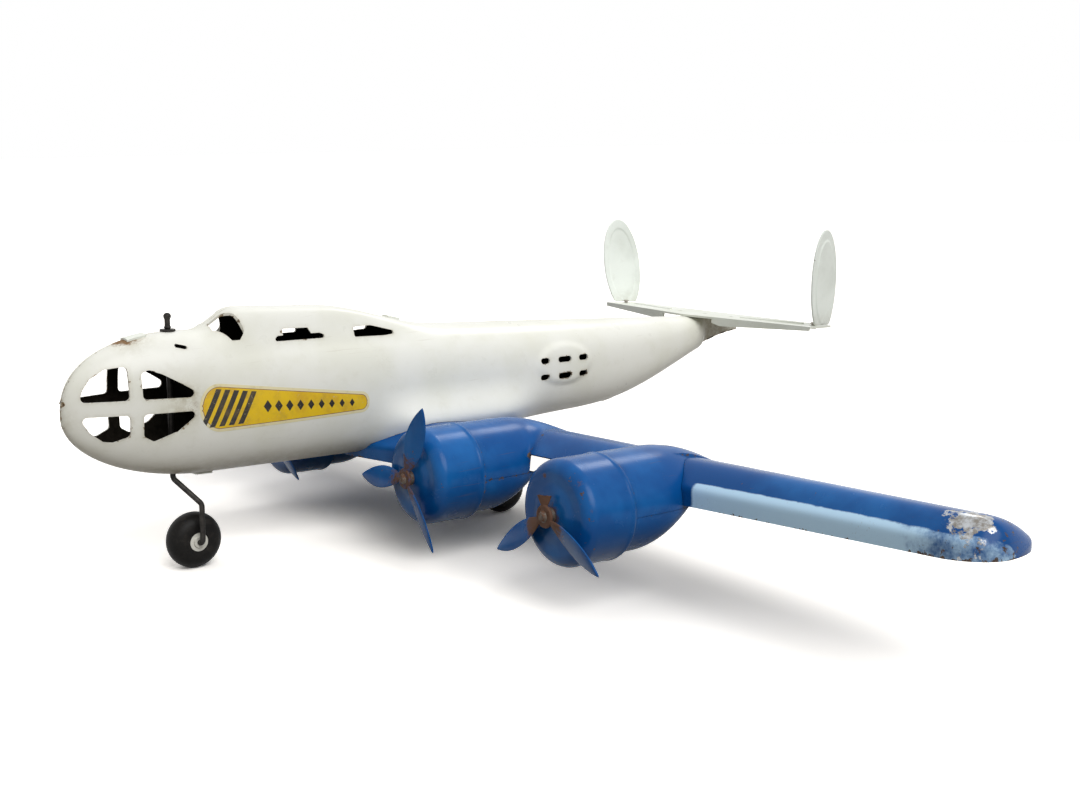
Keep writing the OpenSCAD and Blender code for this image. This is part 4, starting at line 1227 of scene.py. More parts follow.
@dataclass(frozen=True)
class OuterWing:
    """An outer panel: one open-bottomed pressing, worn bare at the tip."""

    wall: float = 1.0
    start_y: float = 174.0
    tip_lead: float = 0.42
    tip_trail: float = 0.57

    def tip(self, y: Any) -> Array:
        """Share of the full section left at y: 1, then a quarter circle down to 0 at the tip."""
        run = np.clip((y - WING.half_span + WING.tip_round) / WING.tip_round, 0.0, 1.0)
        return np.sqrt(1.0 - run**2)

    def sheet(self) -> Array:
        """The panel as a grid over section and span.

        A section goes up the leading face, over the arch and down the trailing
        face; towards the tip it closes to a point at 42% of its chord, with a
        squarer corner behind than in front.
        """
        turn = np.linspace(0.0, np.pi / 2.0, 26)
        plain = np.linspace(self.start_y, WING.half_span - WING.tip_round, 76)
        y = np.concatenate([plain, WING.half_span - WING.tip_round + WING.tip_round * np.sin(turn)[1:]])
        f = self.tip(y)
        g = np.sqrt(1.0 - (1.0 - f**2) ** 2)
        t = np.concatenate([np.zeros(7), np.linspace(0.0, WING.crest, 22)[1:],
                            np.linspace(WING.crest, 1.0, 34)[1:], np.ones(4)])
        fall = runs((0.0, 1.0, 7), (1.0, 1.0, 54), (0.75, 0.0, 4))
        chord = WING.te_x(y) - WING.le_x(y)
        lead = WING.le_x(y) + (1.0 - f) * chord * self.tip_lead
        trail = WING.te_x(y) - (1.0 - g) * chord * self.tip_trail
        root = np.clip((WING.half_span - y) / (WING.half_span - WING.joint_y), 0.0, 1.0)
        height = WING.arch_h * mix(0.03, mix(0.86, 1.0, root), g)
        x = mix(lead, trail, t[:, None])
        return soften(WING.lifted(x, y[None, :], height * WING.arch(t)[:, None] * fall[:, None]))

    def nacelle_block(self) -> bpy.types.Object:
        """The outboard nacelle grown by 0.35 mm, which the panel's root stops at."""
        engine, gap = WING.outboard_y, 0.35
        te = float(WING.te_x(engine))
        x = np.linspace(WING.cowl_back - 5.0, te + 3.0, 60)[:, None]
        turn = np.linspace(0.0, np.pi, 40)
        w, h = WING.nacelle_w(x, te) + gap, WING.nacelle_h(np.minimum(x, te), te) + gap
        y, z = engine + w * np.cos(turn), float(WING.edge_z(engine)) + h * np.sin(turn)
        z = np.concatenate([z, np.full((len(x), 2), -60.0)], axis=1)
        y = np.concatenate([y, engine - w, engine + w], axis=1)
        return closed_block("nacelle_block", points(x, y, z))

    def root_block(self) -> bpy.types.Object:
        """The block inboard of the seam behind the nacelle."""
        y0, y1 = self.start_y - 6.0, WING.panel_y + 0.2
        corner = np.array([[130.0, y0], [280.0, y0], [280.0, y1], [130.0, y1]])
        return prism("root_block", *(points(corner[:, 0], corner[:, 1], z) for z in (-80.0, 40.0)))

    def wear(self, spots: Array, rim: Array) -> Array:
        """Wear along the edges, and more towards the tip."""
        return fringe(0.10, 0.3, 0.8)(spots, rim) + 0.16 * smooth(290.0, 335.0, np.abs(spots[:, 1]))

    def pale(self, spots: Array, rim: Array) -> Array:
        """Painted reflection of the white floor on the leading face, pale blue, from just outboard of the
        nacelle to the tip, weaker towards the tip.
        """
        y = np.abs(spots[:, 1])
        front = smooth(3.2, 1.6, spots[:, 0] - WING.le_x(y) - (1.0 - self.tip(y)) * 17.0)
        return front * smooth(196.0, 204.0, y) * mix(1.0, 0.55, smooth(285.0, 330.0, y))

    def bare(self, spots: Array, rim: Array) -> Array:
        """Bright metal where the tip's front corner has rubbed through."""
        return 1.1 * bell(np.abs(spots[:, 1]), 330.0, 11.0) * bell(spots[:, 0], WING.bay_x + 9.0, 8.0)

    def build(self, finishes: Finishes) -> None:
        """Builds both panels and hands them over."""
        piece = build_mesh("outer_wing_starboard_skin", [self.sheet()],
                           lambda c: points(220.0, c[..., 1] * 0.98, -36.0))
        thicken(piece, self.wall)
        punch(piece, [self.nacelle_block(), self.root_block()])
        settle(piece, sharp=30.0)
        mark_wear(piece, wear=self.wear, stain=fringe(0.0, 0.2, 1.5), pale=self.pale, bare=self.bare)
        port = mirrored(piece, "outer_wing_port_skin")
        for obj, side in ((port, Side.PORT), (piece, Side.STARBOARD)):
            hand_over(obj, "airframe", [f"outer_wing_{side.word}"], finishes.blue_sheet)


def revolve(profile: Array, count: int) -> Array:
    """Turns a profile of (radius, depth) once round its axis.

    Args:
        profile: points by 2.
        count: points round the circle; the last column repeats the first.

    Returns:
        A grid with x as depth and the circle in y and z.
    """
    turn = np.linspace(0.0, 2.0 * np.pi, count + 1)
    r, d = profile[:, :1], profile[:, 1:]
    return points(d, r * np.cos(turn), r * np.sin(turn))


def arc(centre: tuple[float, float], radius: float, start: float, end: float, count: int) -> Array:
    """Points on an arc in a plane, from start to end in degrees."""
    turn = np.radians(np.linspace(start, end, count))
    return np.stack([centre[0] + radius * np.cos(turn), centre[1] + radius * np.sin(turn)], axis=1)


@dataclass(frozen=True)
class Engine:
    """One engine: a drawn cowling cup and the pan that closes the nacelle below."""

    station: str
    y: float
    wall: float = 1.0
    corner: float = 6.0
    hole_r: float = 1.3
    dish: float = 1.4
    bead: float = 0.4
    pan_depth: float = 20.0
    pan_flat: float = 10.0
    pan_len: float = 32.0
    rust: float = 0.0

    @property
    def face(self) -> Array:
        """The middle of the cowling's front."""
        return WING.shaft(self.y, WING.cowl_x)

    def cup(self) -> Array:
        """Cowling: dished face, a rounded corner, a straight skirt and a faint bead."""
        r, length = WING.cowl_r, WING.cowl_len
        face_r = np.linspace(self.hole_r, r - self.corner, 16)
        face_d = self.dish * smooth(2.0, r - self.corner, face_r) ** 0.8 + 0.25 * np.sin(face_r / 3.0) ** 2
        face = np.stack([face_r, np.minimum(face_d, self.dish + 0.05)], axis=1)
        bend = arc((r - self.corner, self.dish + self.corner), self.corner, -90.0, 0.0, 14)[1:]
        skirt_d = np.linspace(self.dish + self.corner, length - 0.05, 34)[1:]
        ring = self.bead * bell(skirt_d, length - 1.2, 0.8)
        skirt = np.stack([r + ring - 0.02, skirt_d], axis=1)
        return revolve(np.concatenate([face, bend, skirt]), 96) + self.face

    def pan(self) -> Array:
        """Lower pan: a half ellipse whose depth closes as a quarter ellipse behind."""
        te = float(WING.te_x(self.y))
        start = WING.cowl_back + 0.05
        rounding = mix(0.55, 1.0, np.sin(np.linspace(0.0, np.pi / 2.0, 30)))
        share = np.concatenate([np.linspace(0.0, 0.55, 14), rounding[1:]])
        x = mix(start, WING.cowl_back + self.pan_len, share)[:, None]
        run = np.clip((x - WING.cowl_back - self.pan_flat) / (self.pan_len - self.pan_flat + 0.02), 0.0, 1.0)
        depth = self.pan_depth * np.sqrt(1.0 - run**2)
        turn = np.linspace(np.pi, 0.0, 56)
        w = WING.nacelle_w(x, te) - 0.1
        y = self.y + w * np.cos(turn)
        z = float(WING.edge_z(self.y)) - 0.78 - np.maximum(depth, 0.05) * np.sin(turn)
        return points(x, y, z)

    def build(self, finishes: Finishes) -> None:
        """Builds the cowling and the pan."""
        _, y, z = self.face
        cup = build_mesh(f"cowling_{self.station}_skin", [self.cup()],
                         lambda c: points(np.maximum(c[..., 0], WING.cowl_x + 8.0), y, z))
        pan = build_mesh(f"engine_pan_{self.station}_skin", [self.pan()],
                         lambda c: points(np.minimum(c[..., 0], 180.0), y, z + 2.0))
        for piece, node in ((cup, "cowling"), (pan, "engine_pan")):
            thicken(piece, self.wall)
            settle(piece, sharp=34.0)
            mark_wear(piece, wear=self.wear, stain=fringe(0.0, 0.25, 1.2), rust=self.rust_at)
            hand_over(piece, "airframe", [f"{node}_{self.station}"], finishes.blue_sheet)

    def wear(self, spots: Array, rim: Array) -> Array:
        """Wear on the cowling's face and corner, more where the rust is."""
        corner = bell(WING.from_shaft(spots, self.y), 20.5, 2.2) * (spots[:, 0] < WING.cowl_x + 9.0)
        return fringe(0.10, 0.28, 0.8)(spots, rim) + self.rust * 0.2 * corner

    def rust_at(self, spots: Array, rim: Array) -> Array:
        """Rust on the cowling's face round the pin, where the propeller's hub rubs, and in chips."""
        hub = bell(WING.from_shaft(spots, self.y), 0.0, 7.0) * (spots[:, 0] < WING.cowl_x + 4.0)
        chips = ((2.0, 6.0, 15.5), (4.0, -14.0, 15.0), (5.0, -20.3, 5.0))
        dots = sum(near(spots, self.face + np.array(chip), 1.9) for chip in chips)
        return (0.3 + 0.6 * self.rust) * hub + 1.1 * self.rust * dots


@dataclass(frozen=True)
class Propeller:
    """A three-bladed propeller stamped from one sheet, on its pin."""

    station: str
    y: float
    turn: float
    radius: float = 39.0
    foot: float = 2.0
    blade_w: float = 11.0
    sheet: float = 0.9
    pitch: float = 20.0
    hub_r: float = 5.0
    hub_t: float = 1.6
    hole_r: float = 1.3
    plane_x: float = 136.8
    wear_level: float = 0.3
    stub: float = 0.0

    @property
    def centre(self) -> Array:
        """The middle of the hub."""
        return WING.shaft(self.y, self.plane_x)

    def blade(self, k: int) -> Array:
        """One leaf blade as a grid round its rim section and along its length.

        Half width is a lens between two arcs; the section is a thin ellipse with
        blunt ends, cupped along its width and turned by the pitch, more near the hub.
        The first blade can be snapped off at the stub's length, with a ragged end.

        Args:
            k: the blade's number, a third of a turn apart.

        Returns:
            The grid, closed round the section.
        """
        length = self.radius - self.foot
        bow = (length**2 + self.blade_w**2) / (4.0 * self.blade_w)
        snapped = self.stub > 0.0 and k == 0
        last = math.asin((self.stub - self.foot) * 2.0 / length - 1.0) if snapped else math.pi / 2.0
        v = np.sin(np.linspace(-np.pi / 2.0, last, 46)) * length / 2.0
        half = np.maximum(np.sqrt(bow**2 - v**2) - bow + self.blade_w / 2.0, 0.02)[:, None]
        turn = np.linspace(0.0, 2.0 * np.pi, 29)
        u = signed_power(np.cos(turn), 0.7)
        edge = self.sheet / 2.0 * signed_power(np.sin(turn), 0.5) * np.minimum(half / 0.8, 1.0)
        along = (v + self.foot + length / 2.0)[:, None]
        twist = np.radians(self.pitch + 5.0 * (0.5 - along / self.radius))
        cup = 0.45 * (u**2 - 0.4) * np.minimum(half / 3.0, 1.0)
        z, x = spun(edge + cup, u * half, twist)
        ragged = 0.4 * (1.0 + np.sin(7.0 * u)) * (along > self.stub - 0.1) if snapped else 0.0 * x
        grid = points(x, along - ragged, z)
        grid = np.concatenate([grid, np.broadcast_to(grid[-1].mean(axis=0), grid[-1:].shape)])
        return self.turned(grid, 120.0 * k)

    def turned(self, p: Array, extra: float) -> Array:
        """Turns points about the shaft and sets the shaft along the airframe's x."""
        x, y = spun(p[..., 0], p[..., 1], math.radians(self.turn + extra))
        return self.centre + points(p[..., 2], y, -x)

    def hub(self) -> Array:
        """Hub: a small raised boss with a rounded edge."""
        t, r = self.hub_t / 2.0, self.hub_r
        front = np.array([[self.hole_r, -t], [2.6, -t], [3.2, -t + 0.1]])
        bend = arc((r - 0.9, 0.0), 0.9, -80.0, 80.0, 11)
        bend[:, 1] *= t / 0.9
        back = np.array([[3.2, t], [self.hole_r, t]])
        return revolve(np.concatenate([front, bend, back, front[:1]]), 48) + self.centre

    def hub_core(self, spots: Array) -> Array:
        """Points on the circle inside the hub's ring, beside points of its skin."""
        off = (spots - self.centre) * np.array([0.0, 1.0, 1.0])
        return self.centre + 3.4 * off / np.maximum(np.linalg.norm(off, axis=-1, keepdims=True), 0.1)

    def build(self, finishes: Finishes) -> None:
        """Builds the blades and the hub as one piece."""
        title = f"propeller_{self.station}"
        parts = []
        for k, name in enumerate((f"{title}_stamping", "blade", "blade")):
            blade = self.blade(k)
            parts.append(build_mesh(name, [blade], blade.mean(axis=1)[:-1, None]))
        parts.append(build_mesh("hub", [self.hub()], self.hub_core))
        join(parts)
        piece = parts[0]
        settle(piece, sharp=40.0)
        mark_wear(piece, wear=self.wear, rust=self.rust_at)
        hand_over(piece, title, [title], [finishes.blue])

    def wear(self, spots: Array, rim: Array) -> Array:
        """Wear that starts at the hub and runs out along the blades."""
        radius = WING.from_shaft(spots, self.y)
        return 0.12 + self.wear_level * bell(radius, 0.0, 17.0) + 0.15 * (radius > 36.0)

    def rust_at(self, spots: Array, rim: Array) -> Array:
        """Rust over the hub and out along the inner blades."""
        return (1.1 if self.stub else 0.8) * smooth(22.0, 6.0, WING.from_shaft(spots, self.y))


@dataclass(frozen=True)
class Tail:
    """The tailplane's frame and the two stamped fins."""

    from_end: float = 46.0
    half_span: float = 85.0
    sweep: float = 15.0
    tip_chord: float = 24.0
    sheet: float = 1.2
    fin_h: float = 55.0
    fin_w: float = 27.0
    panel_inset: tuple[float, float] = (3.5, 6.0)
    panel_press: float = 0.5
    toe: float = 11.0
    rake: float = 6.0
    seat: float = 0.05
    leans: tuple[float, float] = (2.0, 8.0)

    def placed(self, p: Array) -> Array:
        """Lays points of the tail's own frame along the body's top line."""
        x0 = BODY.length - self.from_end
        slope = math.atan((BODY.shoulder_z - BODY.tail_top_z) / (BODY.length - BODY.nose_len))
        return pitched(p, slope, x0, float(BODY.top_z(x0)) + self.seat)

    def fin(self, side: Side) -> list[Array]:
        """A fin as a closed pair of polar grids, with the oval panel pressed outwards.

        The outline is an ellipse cut flat at its foot: the radius at an angle is
        the smaller of the ellipse's and the foot line's.

        Args:
            side: which fin.

        Returns:
            Outer face with its rim, and inner face.
        """
        tall = self.fin_h * 1.1
        rise = self.fin_h - tall / 2.0
        turn = np.linspace(0.0, 2.0 * np.pi, 121)
        a, b = self.fin_w / 2.0, tall / 2.0
        tilt = math.radians(self.rake)
        oval = 1.0 / np.hypot(np.cos(turn - tilt) / a, np.sin(turn - tilt) / b)
        p, q = a - self.panel_inset[0], b - self.panel_inset[1]
        inner = 1.0 / np.hypot(np.cos(turn - tilt) / p, np.sin(turn - tilt) / q)
        foot = np.where(np.sin(turn) < -1e-6, (rise - 0.45) / np.maximum(-np.sin(turn), 1e-6), 1e9)
        edge = np.minimum(oval, foot)
        share = runs((0.0, 0.7, 8), (0.72, 0.98, 22), (1.0, 1.0, 1))[:, None]
        radius = share * edge
        press = self.panel_press * (1.0 - smooth(-0.9, 0.6, radius - inner))
        rim = smooth(-0.5, 0.0, radius - edge) ** 2
        x, z = radius * np.cos(turn), rise + radius * np.sin(turn)
        out = points(x, press - 0.25 * rim, z)
        back = points(x, press - self.sheet + 0.25 * rim, z)
        wall = np.stack([out[-1], back[-1]])
        return [self.stood(g, side) for g in (out, wall, back)]

    def stood(self, p: Array, side: Side) -> Array:
        """Leans, toes out and seats a fin drawn upright at the origin."""
        s = side.value
        lean = math.radians(self.leans[0] if side is Side.PORT else self.leans[1])
        z, y = spun(p[..., 2], p[..., 1], lean)
        x, y = spun(p[..., 0], y * s, math.radians(-s * self.toe))
        z = z + self.sheet + self.seat
        return self.placed(points(x + self.sweep + self.tip_chord / 2.0, y + s * self.half_span, z))

    def build(self, finishes: Finishes) -> None:
        """Builds the fins."""
        for side in Side:
            grids = self.fin(side)
            middle = sum(g.reshape(-1, 3).mean(0) for g in (grids[0], grids[2])) / 2.0
            piece = build_mesh(f"fin_{side.word}_stamping", grids, middle)
            settle(piece, sharp=40.0)
            mark_wear(piece, wear=fringe(0.02, 0.2, 0.8),
                      # the fins darken towards their foot
                      stain=lambda spots, rim: 0.25 * smooth(32.0, 20.0, spots[:, 2]))
            hand_over(piece, "airframe", [f"fin_{side.word}"], [finishes.fin])


def filleted(corners: Sequence[tuple[float, float, float]], radius: float, step: float = 0.6) -> Array:
    """A path through corners with a round bend at each inner one.

    A bend of turning angle a starts radius × tan(a / 2) before its corner and runs
    on a circle that touches both legs.

    Args:
        corners: corner points.
        radius: the bends' radius.
        step: greatest spacing of points on straight legs, in millimetres.

    Returns:
        Points along the path.
    """
    spots = np.array(corners, float)
    path = [spots[0]]
    for before, here, after in zip(spots[:-2], spots[1:-1], spots[2:]):
        u, v = here - before, after - here
        u, v = u / np.linalg.norm(u), v / np.linalg.norm(v)
        angle = math.acos(float(np.clip(u @ v, -1.0, 1.0)))
        back = radius * math.tan(angle / 2.0)
        side = v - (u @ v) * u
        side = side / np.linalg.norm(side)
        turn = np.linspace(0.0, angle, 14)[:, None]
        start = here - u * back
        bend = start + radius * (np.sin(turn) * u + (1.0 - np.cos(turn)) * side)
        path += [*straight(path[-1], start, step), *bend]
    path += [*straight(path[-1], spots[-1], step), spots[-1]]
    return np.array(path)


def straight(a: Array, b: Array, step: float) -> Array:
    """Points strictly between two points, no more than step apart."""
    count = max(int(np.linalg.norm(b - a) / step), 1)
    return mix(a, b, np.linspace(0.0, 1.0, count + 1)[1:-1, None])


def tube(path: Array, radius: Array, count: int = 20) -> Array:
    """Sweeps a circle along a path that nowhere runs fore and aft.

    The circle's first axis is the x axis less its part along the path, t:
    x − (x · t) t, and the second is t × the first.

    Args:
        path: the centre line.
        radius: one radius for each point.
        count: points round the circle.

    Returns:
        The grid, with its ends drawn in to a point.
    """
    tangent = np.gradient(path, axis=0)
    tangent /= np.linalg.norm(tangent, axis=1, keepdims=True)
    across = np.array([1.0, 0.0, 0.0]) - tangent[:, :1] * tangent
    across /= np.linalg.norm(across, axis=1, keepdims=True)
    other = np.cross(tangent, across)
    turn = np.linspace(0.0, 2.0 * np.pi, count + 1)[None, :, None]
    ring = np.cos(turn) * across[:, None] + np.sin(turn) * other[:, None]
    grid = path[:, None] + radius[:, None, None] * ring
    caps = [np.broadcast_to(path[i], grid[i].shape)[None] for i in (0, -1)]
    return np.concatenate([caps[0], grid, caps[1]])


@dataclass(frozen=True)
class NoseGear:
    """The bent wire strut: a peg on the nose top, and a leg out to the wheel's side."""

    x: float = BODY.strut_x
    trail: float = 9.3
    side: float = 10.4
    wire_r: float = 1.3
    bend_r: float = 3.0
    bend_deg: float = 50.0
    wheel_z: float = STANCE.nose_axle[1]
    end_y: float = 8.7
    knob_z: float = 6.8
    knob_r: float = 1.8

    def path(self) -> Array:
        """Centre line: down through the nose, out and back to the leg, and in to the hub."""
        top = float(BODY.top_z(self.x)) + self.knob_z
        knee = float(BODY.low_z(self.x)) - 1.0
        bend = math.radians(self.bend_deg)
        off = math.hypot(self.trail, self.side)
        slant = (off - 2.0 * self.bend_r * (1.0 - math.cos(bend))) / math.sin(bend)
        drop = 2.0 * self.bend_r * math.sin(bend) + slant * math.cos(bend)
        tuck = self.bend_r * math.tan(bend / 2.0)
        leg = (self.x + self.trail, -self.side)
        return filleted([(self.x, 0.0, top + 1.6), (self.x, 0.0, knee - tuck), (*leg, knee - drop + tuck),
                         (*leg, self.wheel_z), (leg[0], self.end_y, self.wheel_z)], self.bend_r)

    def radii(self, path: Array) -> Array:
        """Wire radius: a round knob at the top, a collar over the washer, and plain wire."""
        low = path[:, 2] - float(BODY.top_z(self.x))
        knob = np.sqrt(np.maximum(1.0 - ((low - self.knob_z) / 1.75) ** 2, 0.0)) * self.knob_r
        collar = self.knob_r * bell(low, 1.65, 0.75) * (low > 0.9)
        above = np.where(low > 7.2, 0.0, self.wire_r)
        return np.maximum(np.maximum(above, knob), np.maximum(collar, 0.05))

    def build(self, finishes: Finishes) -> None:
        """Builds the wire."""
        path = self.path()
        piece = build_mesh("nose_strut_wire", [tube(path, self.radii(path))],
                           np.concatenate([path[:1], path])[:, None], weld=0.0005)
        settle(piece, sharp=50.0)
        hand_over(piece, "nose_strut", ["nose_strut"], [finishes.wire])


@dataclass(frozen=True)
class Label:
    """A tapered side panel of printed paper, in a plain striped design.

    The bars and the lozenges lie between two places each, in millimetres from the
    wide end.
    """

    start_x: float = 57.5
    end_x: float = 145.0
    wide: tuple[float, float] = (10.2, -14.0)
    narrow: tuple[float, float] = (-1.6, -11.4)
    lift: float = 0.07
    bars: tuple[float, float] = (4.0, 25.0)
    bar_step: float = 4.4
    bar_w: float = 2.6
    bar_slant: float = 0.45
    margin: float = 2.6
    lozenges: tuple[float, float] = (30.0, 80.4)
    lozenge_step: float = 5.6
    yellow: str = "EBC41E"
    faded: str = "D8AC28"
    paper: str = "E7DDB2"
    line: str = "6E2A1C"
    ink: str = "24211C"
    fleck: str = "C9BE98"
    dirt: str = "8B7442"
    rough: float = 0.36

    @property
    def length(self) -> float:
        """From the wide end to the narrow end."""
        return self.end_x - self.start_x

    @property
    def height(self) -> float:
        """Height of the wide end."""
        return self.wide[0] - self.wide[1]

    def outline(self, u: Array) -> tuple[Array, Array]:
        """Centre height and half height along the label, with both ends rounded.

        Args:
            u: share of the length.

        Returns:
            Centre height and half height in millimetres.
        """
        top, low = mix(self.wide[0], self.narrow[0], u), mix(self.wide[1], self.narrow[1], u)
        left = round_up(u * self.length, 10.5, 2.0)
        right = round_up((1.0 - u) * self.length, 4.2, 2.2)
        return (top + low) / 2.0, (top - low) / 2.0 * left * right

    def build(self) -> None:
        """Builds one label on each side."""
        material = self.material()
        turn = np.linspace(0.0, np.pi, 120)
        u = ((1.0 - np.cos(turn)) / 2.0)[:, None]
        v = np.linspace(-1.0, 1.0, 36)[None, :]
        middle, half = self.outline(u)
        x = mix(self.start_x, self.end_x, u) + 0.0 * v
        z = middle + half * v
        for side in Side:
            grid = points(x, side.value * (BODY.side_at(x, z) + self.lift), z)
            piece = build_mesh(f"side_label_{side.word}", [grid],
                               lambda c: c * np.array([1.0, 0.0, 1.0]), weld=0.0005)
            self.lay_flat(piece)
            settle(piece, sharp=60.0)
            hand_over(piece, "airframe", [], [material])

    def lay_flat(self, piece: bpy.types.Object) -> None:
        """Gives a label its UV map, in shares of its size, and stores its distance from the rim."""
        spots = mesh_points(piece)
        u = (spots[:, 0] - self.start_x) / self.length
        v = (spots[:, 2] - self.wide[1]) / self.height
        corner = np.empty(len(piece.data.loops), np.int32)
        piece.data.loops.foreach_get("vertex_index", corner)
        layer = piece.data.uv_layers.new(name="label")
        layer.data.foreach_set("uv", np.stack([u, v], axis=1)[corner].astype(np.float32).ravel())
        share = np.linspace(0.0, 1.0, 400)
        middle, half = self.outline(share)
        x = mix(self.start_x, self.end_x, share)
        rim = np.concatenate([np.stack([x, middle + half], 1), np.stack([x, middle - half], 1)])
        flat = spots[:, [0, 2]]
        store(piece, "inset", np.sqrt(np.min(np.sum((flat[:, None] - rim[None]) ** 2, axis=2), axis=1)))

    def material(self) -> bpy.types.Material:
        """Varnished printed paper: yellow, with dark slanted bars and a row of dark lozenges."""
        n = Shade(bpy.data.materials.new("printed_paper_label_varnished"))
        uv = n.add("UVMap", uv_map="label")
        s = n.times(n.add("SeparateXYZ", {0: uv}, 0), self.length)
        z = n.raised(self.wide[1], n.add("SeparateXYZ", {0: uv}, 1), self.height)
        edge = n.stored("inset")
        yellow = n.blend(n.step(n.noise(9.0, 5.0, 0.6), 0.4, 0.7), self.yellow, self.faded)
        inner = n.step(edge, 1.6, 1.75)
        colour = n.blend(inner, self.paper, yellow)
        ring = n.times(n.step(edge, 1.35, 1.45), n.less(1.0, inner))
        colour = n.blend(ring, colour, self.line)
        # height over the label's middle line, and the label's half height there
        fall = (sum(self.narrow) - sum(self.wide)) / 2.0 / self.length
        off = n.less(z, n.raised(sum(self.wide) / 2.0, s, fall))
        away = n.math("ABSOLUTE", off)
        taper = -(self.height - self.narrow[0] + self.narrow[1]) / 2.0 / self.length
        half = n.raised(self.height / 2.0, s, taper)
        # slanted bars across the wide end
        slant = n.raised(s, off, -self.bar_slant)
        wave = n.math("MODULO", n.less(slant, self.bars[0]), self.bar_step)
        bars = n.times(n.math("LESS_THAN", wave, self.bar_w), n.within(slant, *self.bars))
        bars = n.times(bars, n.step(n.less(n.less(half, self.margin), away), -0.05, 0.05))
        # a row of lozenges that shrinks towards the narrow end
        cell = n.math("MODULO", n.less(s, self.lozenges[0]), self.lozenge_step)
        cell = n.math("ABSOLUTE", n.less(cell, self.lozenge_step / 2.0))
        size = n.raised(4.1, s, -0.022)
        row = n.step(n.less(size, n.raised(away, cell, 1.45)), 0.3, 0.45)
        row = n.times(row, n.within(s, *self.lozenges))
        colour = n.blend(n.math("MAXIMUM", bars, row), colour, self.ink)
        # rubbed print: flecks of bare paper, and brown dirt over all
        rub = n.step(n.noise(1.5, 5.0, 0.7, 8.0), 0.62, 0.7, 0.7)
        colour = n.blend(rub, colour, self.fleck)
        grime = n.step(n.noise(8.0, 5.0, 0.7, 40.0), 0.48, 0.78, 0.4)
        colour = n.blend(grime, colour, self.dirt)
        return n.surface(colour, n.raised(self.rough, rub, 0.25), n.bump(n.noise(1.2), 0.2, 0.1))


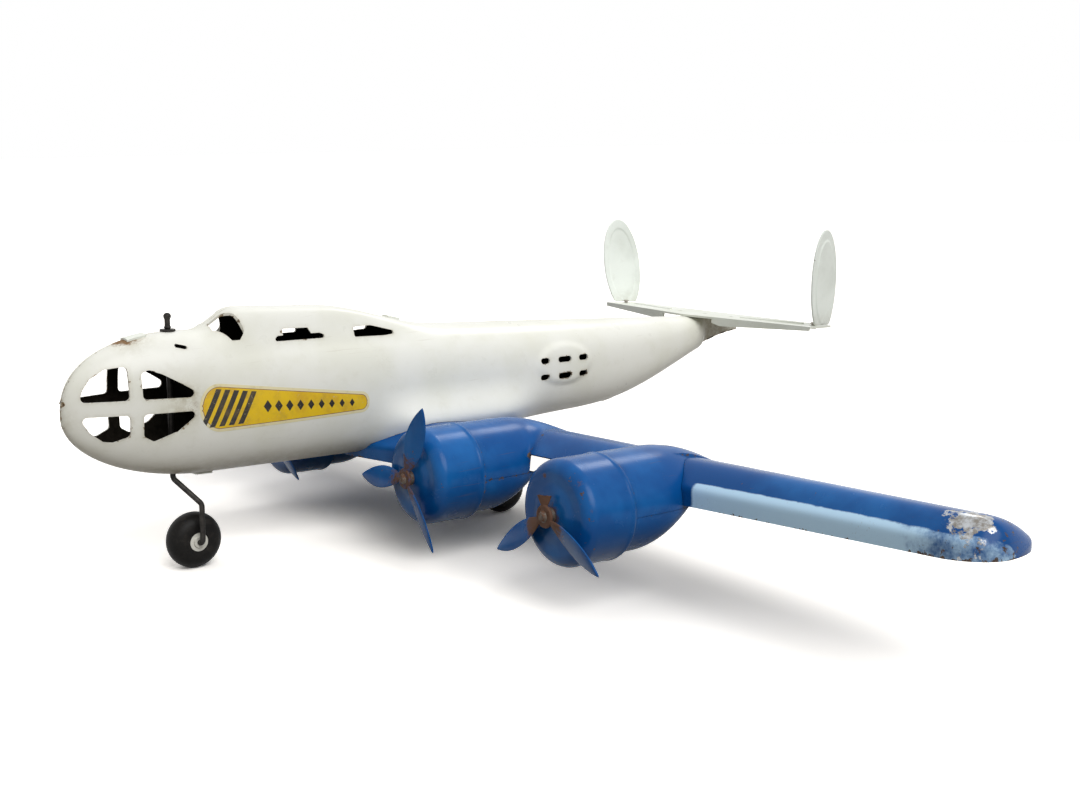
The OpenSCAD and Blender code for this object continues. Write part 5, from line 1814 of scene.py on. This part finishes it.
@dataclass(frozen=True)
class Studio:
    """Pale floor, soft light and a camera at the photograph's angle."""

    image: tuple[int, int] = (1080, 810)
    sensor: float = 36.0
    focal_px: float = 1400.0
    azimuth: float = 38.49
    dip: float = 11.9
    roll: float = -0.03
    lean: float = 1.4
    lean_z: float = 80.0
    eye: tuple[float, float, float] = (-424.9, -606.5, 214.3)
    sky: float = 0.46
    sun: float = 1.8
    sun_at: tuple[float, float, float] = (-0.107, -0.937, 0.8)
    sun_spread: float = 40.0
    box_watts: float = 3.0
    box_side: float = 0.36
    box_at: tuple[float, float, float] = (0.93, 0.33, 1.17)
    paper: Colour = (1.5, 1.46, 1.4, 1.0)
    bounce: Colour = (0.15, 0.13, 0.10, 1.0)
    floor_span: float = 40.0

    def camera(self) -> None:
        """Sets the camera by its measured place and angles, for the photograph's frame.

        The photographed toy leans a little to starboard on its tyres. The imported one
        stands level, so the camera is turned the other way about the toy's length.
        """
        data = bpy.data.cameras.new("camera")
        data.sensor_width = self.sensor
        data.lens = self.focal_px / self.image[0] * self.sensor
        data.clip_start, data.clip_end = 0.02, 100.0
        eye = linked("camera", data)
        a, d = math.radians(self.azimuth), math.radians(self.dip)
        look = Vector((math.sin(a) * math.cos(d), math.cos(a) * math.cos(d), -math.sin(d)))
        turn = look.to_track_quat("-Z", "Y").to_matrix().to_4x4()
        pivot = Matrix.Translation((0.0, 0.0, self.lean_z * MM))
        leant = pivot @ Matrix.Rotation(math.radians(self.lean), 4, "X") @ pivot.inverted()
        eye.matrix_world = (leant @ Matrix.Translation(Vector(self.eye) * MM) @ turn
                            @ Matrix.Rotation(math.radians(-self.roll), 4, "Z"))
        bpy.context.scene.camera = eye

    def floor(self) -> None:
        """A wide pale floor that looks white and bounces less than it shows."""
        mesh = bpy.data.meshes.new("floor")
        h = self.floor_span / 2.0
        mesh.from_pydata([(-h, -h, 0), (h, -h, 0), (h, h, 0), (-h, h, 0)], [], [(0, 1, 2, 3)])
        floor = linked("floor", mesh)
        n = Shade(bpy.data.materials.new("pale_paper_floor"))
        shown = n.add("BsdfDiffuse", {"Color": n.blend(n.ray("Camera"), WHITE, self.paper)})
        lit = n.add("BsdfDiffuse", {"Color": self.bounce})
        both = n.add("MixShader", {0: n.seen(), 1: lit, 2: shown})
        floor.data.materials.append(n.end("OutputMaterial", both))

    def lamp(self, name: str, kind: str, energy: float, at: tuple[float, float, float]) -> bpy.types.Light:
        """A lamp at a place in metres that shines at the origin."""
        light = bpy.data.lights.new(name, kind)
        light.energy = energy
        place = Vector(at)
        turn = place.to_track_quat("Z", "Y").to_matrix().to_4x4()
        linked(name, light).matrix_world = Matrix.Translation(place) @ turn
        return light

    def light(self) -> None:
        """Soft sky, a broad fill from the camera's side, and a softbox high behind the tail."""
        n = Shade(bpy.data.worlds.new("studio"))
        up = n.add("SeparateXYZ", {0: n.add("TexCoord", out="Generated")}, 2)
        level = n.raised(self.sky * 0.2, n.step(up, -0.1, 1.0), self.sky * 1.6)
        sky, white = (n.add("Background", {"Color": WHITE, "Strength": s}) for s in (level, 1.0))
        both = n.add("MixShader", {0: n.seen(), 1: sky, 2: white})
        bpy.context.scene.world = n.end("OutputWorld", both)
        self.lamp("key", "SUN", self.sun, self.sun_at).angle = math.radians(self.sun_spread)
        self.lamp("softbox", "AREA", self.box_watts, self.box_at).size = self.box_side

    def build(self) -> None:
        """Sets the whole studio."""
        self.camera()
        self.floor()
        self.light()
        bpy.context.scene.view_settings.view_transform = "Standard"


def dress_nodes(finishes: Finishes) -> None:
    """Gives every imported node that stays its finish."""
    choice = {
        finishes.cream: ["tailplane", "seam_tabs"],
        finishes.blue: ["belly_plate", "axle_plate"],
        finishes.wire: ["strut_washer", "strut_stop"],
        finishes.rubber: ["nose_tyre", "main_tyre_port", "main_tyre_starboard"],
        finishes.hub: ["nose_wheel_hub", "main_wheel_hub_port", "main_wheel_hub_starboard"],
        finishes.rusty: ["propeller_pins", "propeller_spacers"],
        finishes.steel: ["tail_rivets", "nose_wheel_cap", "axle_bracket", "main_axle", "axle_caps",
                         "bracket_rivets"]}
    for material, names in choice.items():
        for name in names:
            node = frame["nodes"][name]
            node.data.materials.clear()
            node.data.materials.append(material)
            LOG.info("%s wears %s", name, material.name)


def corners(box: tuple[Vector, Vector]) -> list[list[float]]:
    """A box's two corners as plain numbers."""
    return [list(corner) for corner in box]


def main() -> None:
    """Builds the studio and every piece, in order."""
    logging.basicConfig(level=logging.INFO, format="%(name)s: %(message)s")
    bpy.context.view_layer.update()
    Studio().build()
    finishes = Finishes()
    BODY.build(finishes)
    CentreWing().build(finishes)
    OuterWing().build(finishes)
    for station, y, turn, rust in (("port_outboard", -WING.outboard_y, 87.0, 1.0),
                                   ("port_inboard", -WING.inboard_y, 113.0, 0.2),
                                   ("starboard_inboard", WING.inboard_y, 90.0, 0.3),
                                   ("starboard_outboard", WING.outboard_y, 90.0, 0.5)):
        Engine(station, y, rust=rust).build(finishes)
        Propeller(station, y, turn, stub=9.0 if station == "port_outboard" else 0.0).build(finishes)
    Tail().build(finishes)
    NoseGear().build(finishes)
    Label().build()
    dress_nodes(finishes)
    clear_punches()


if __name__ == "__main__":
    main()
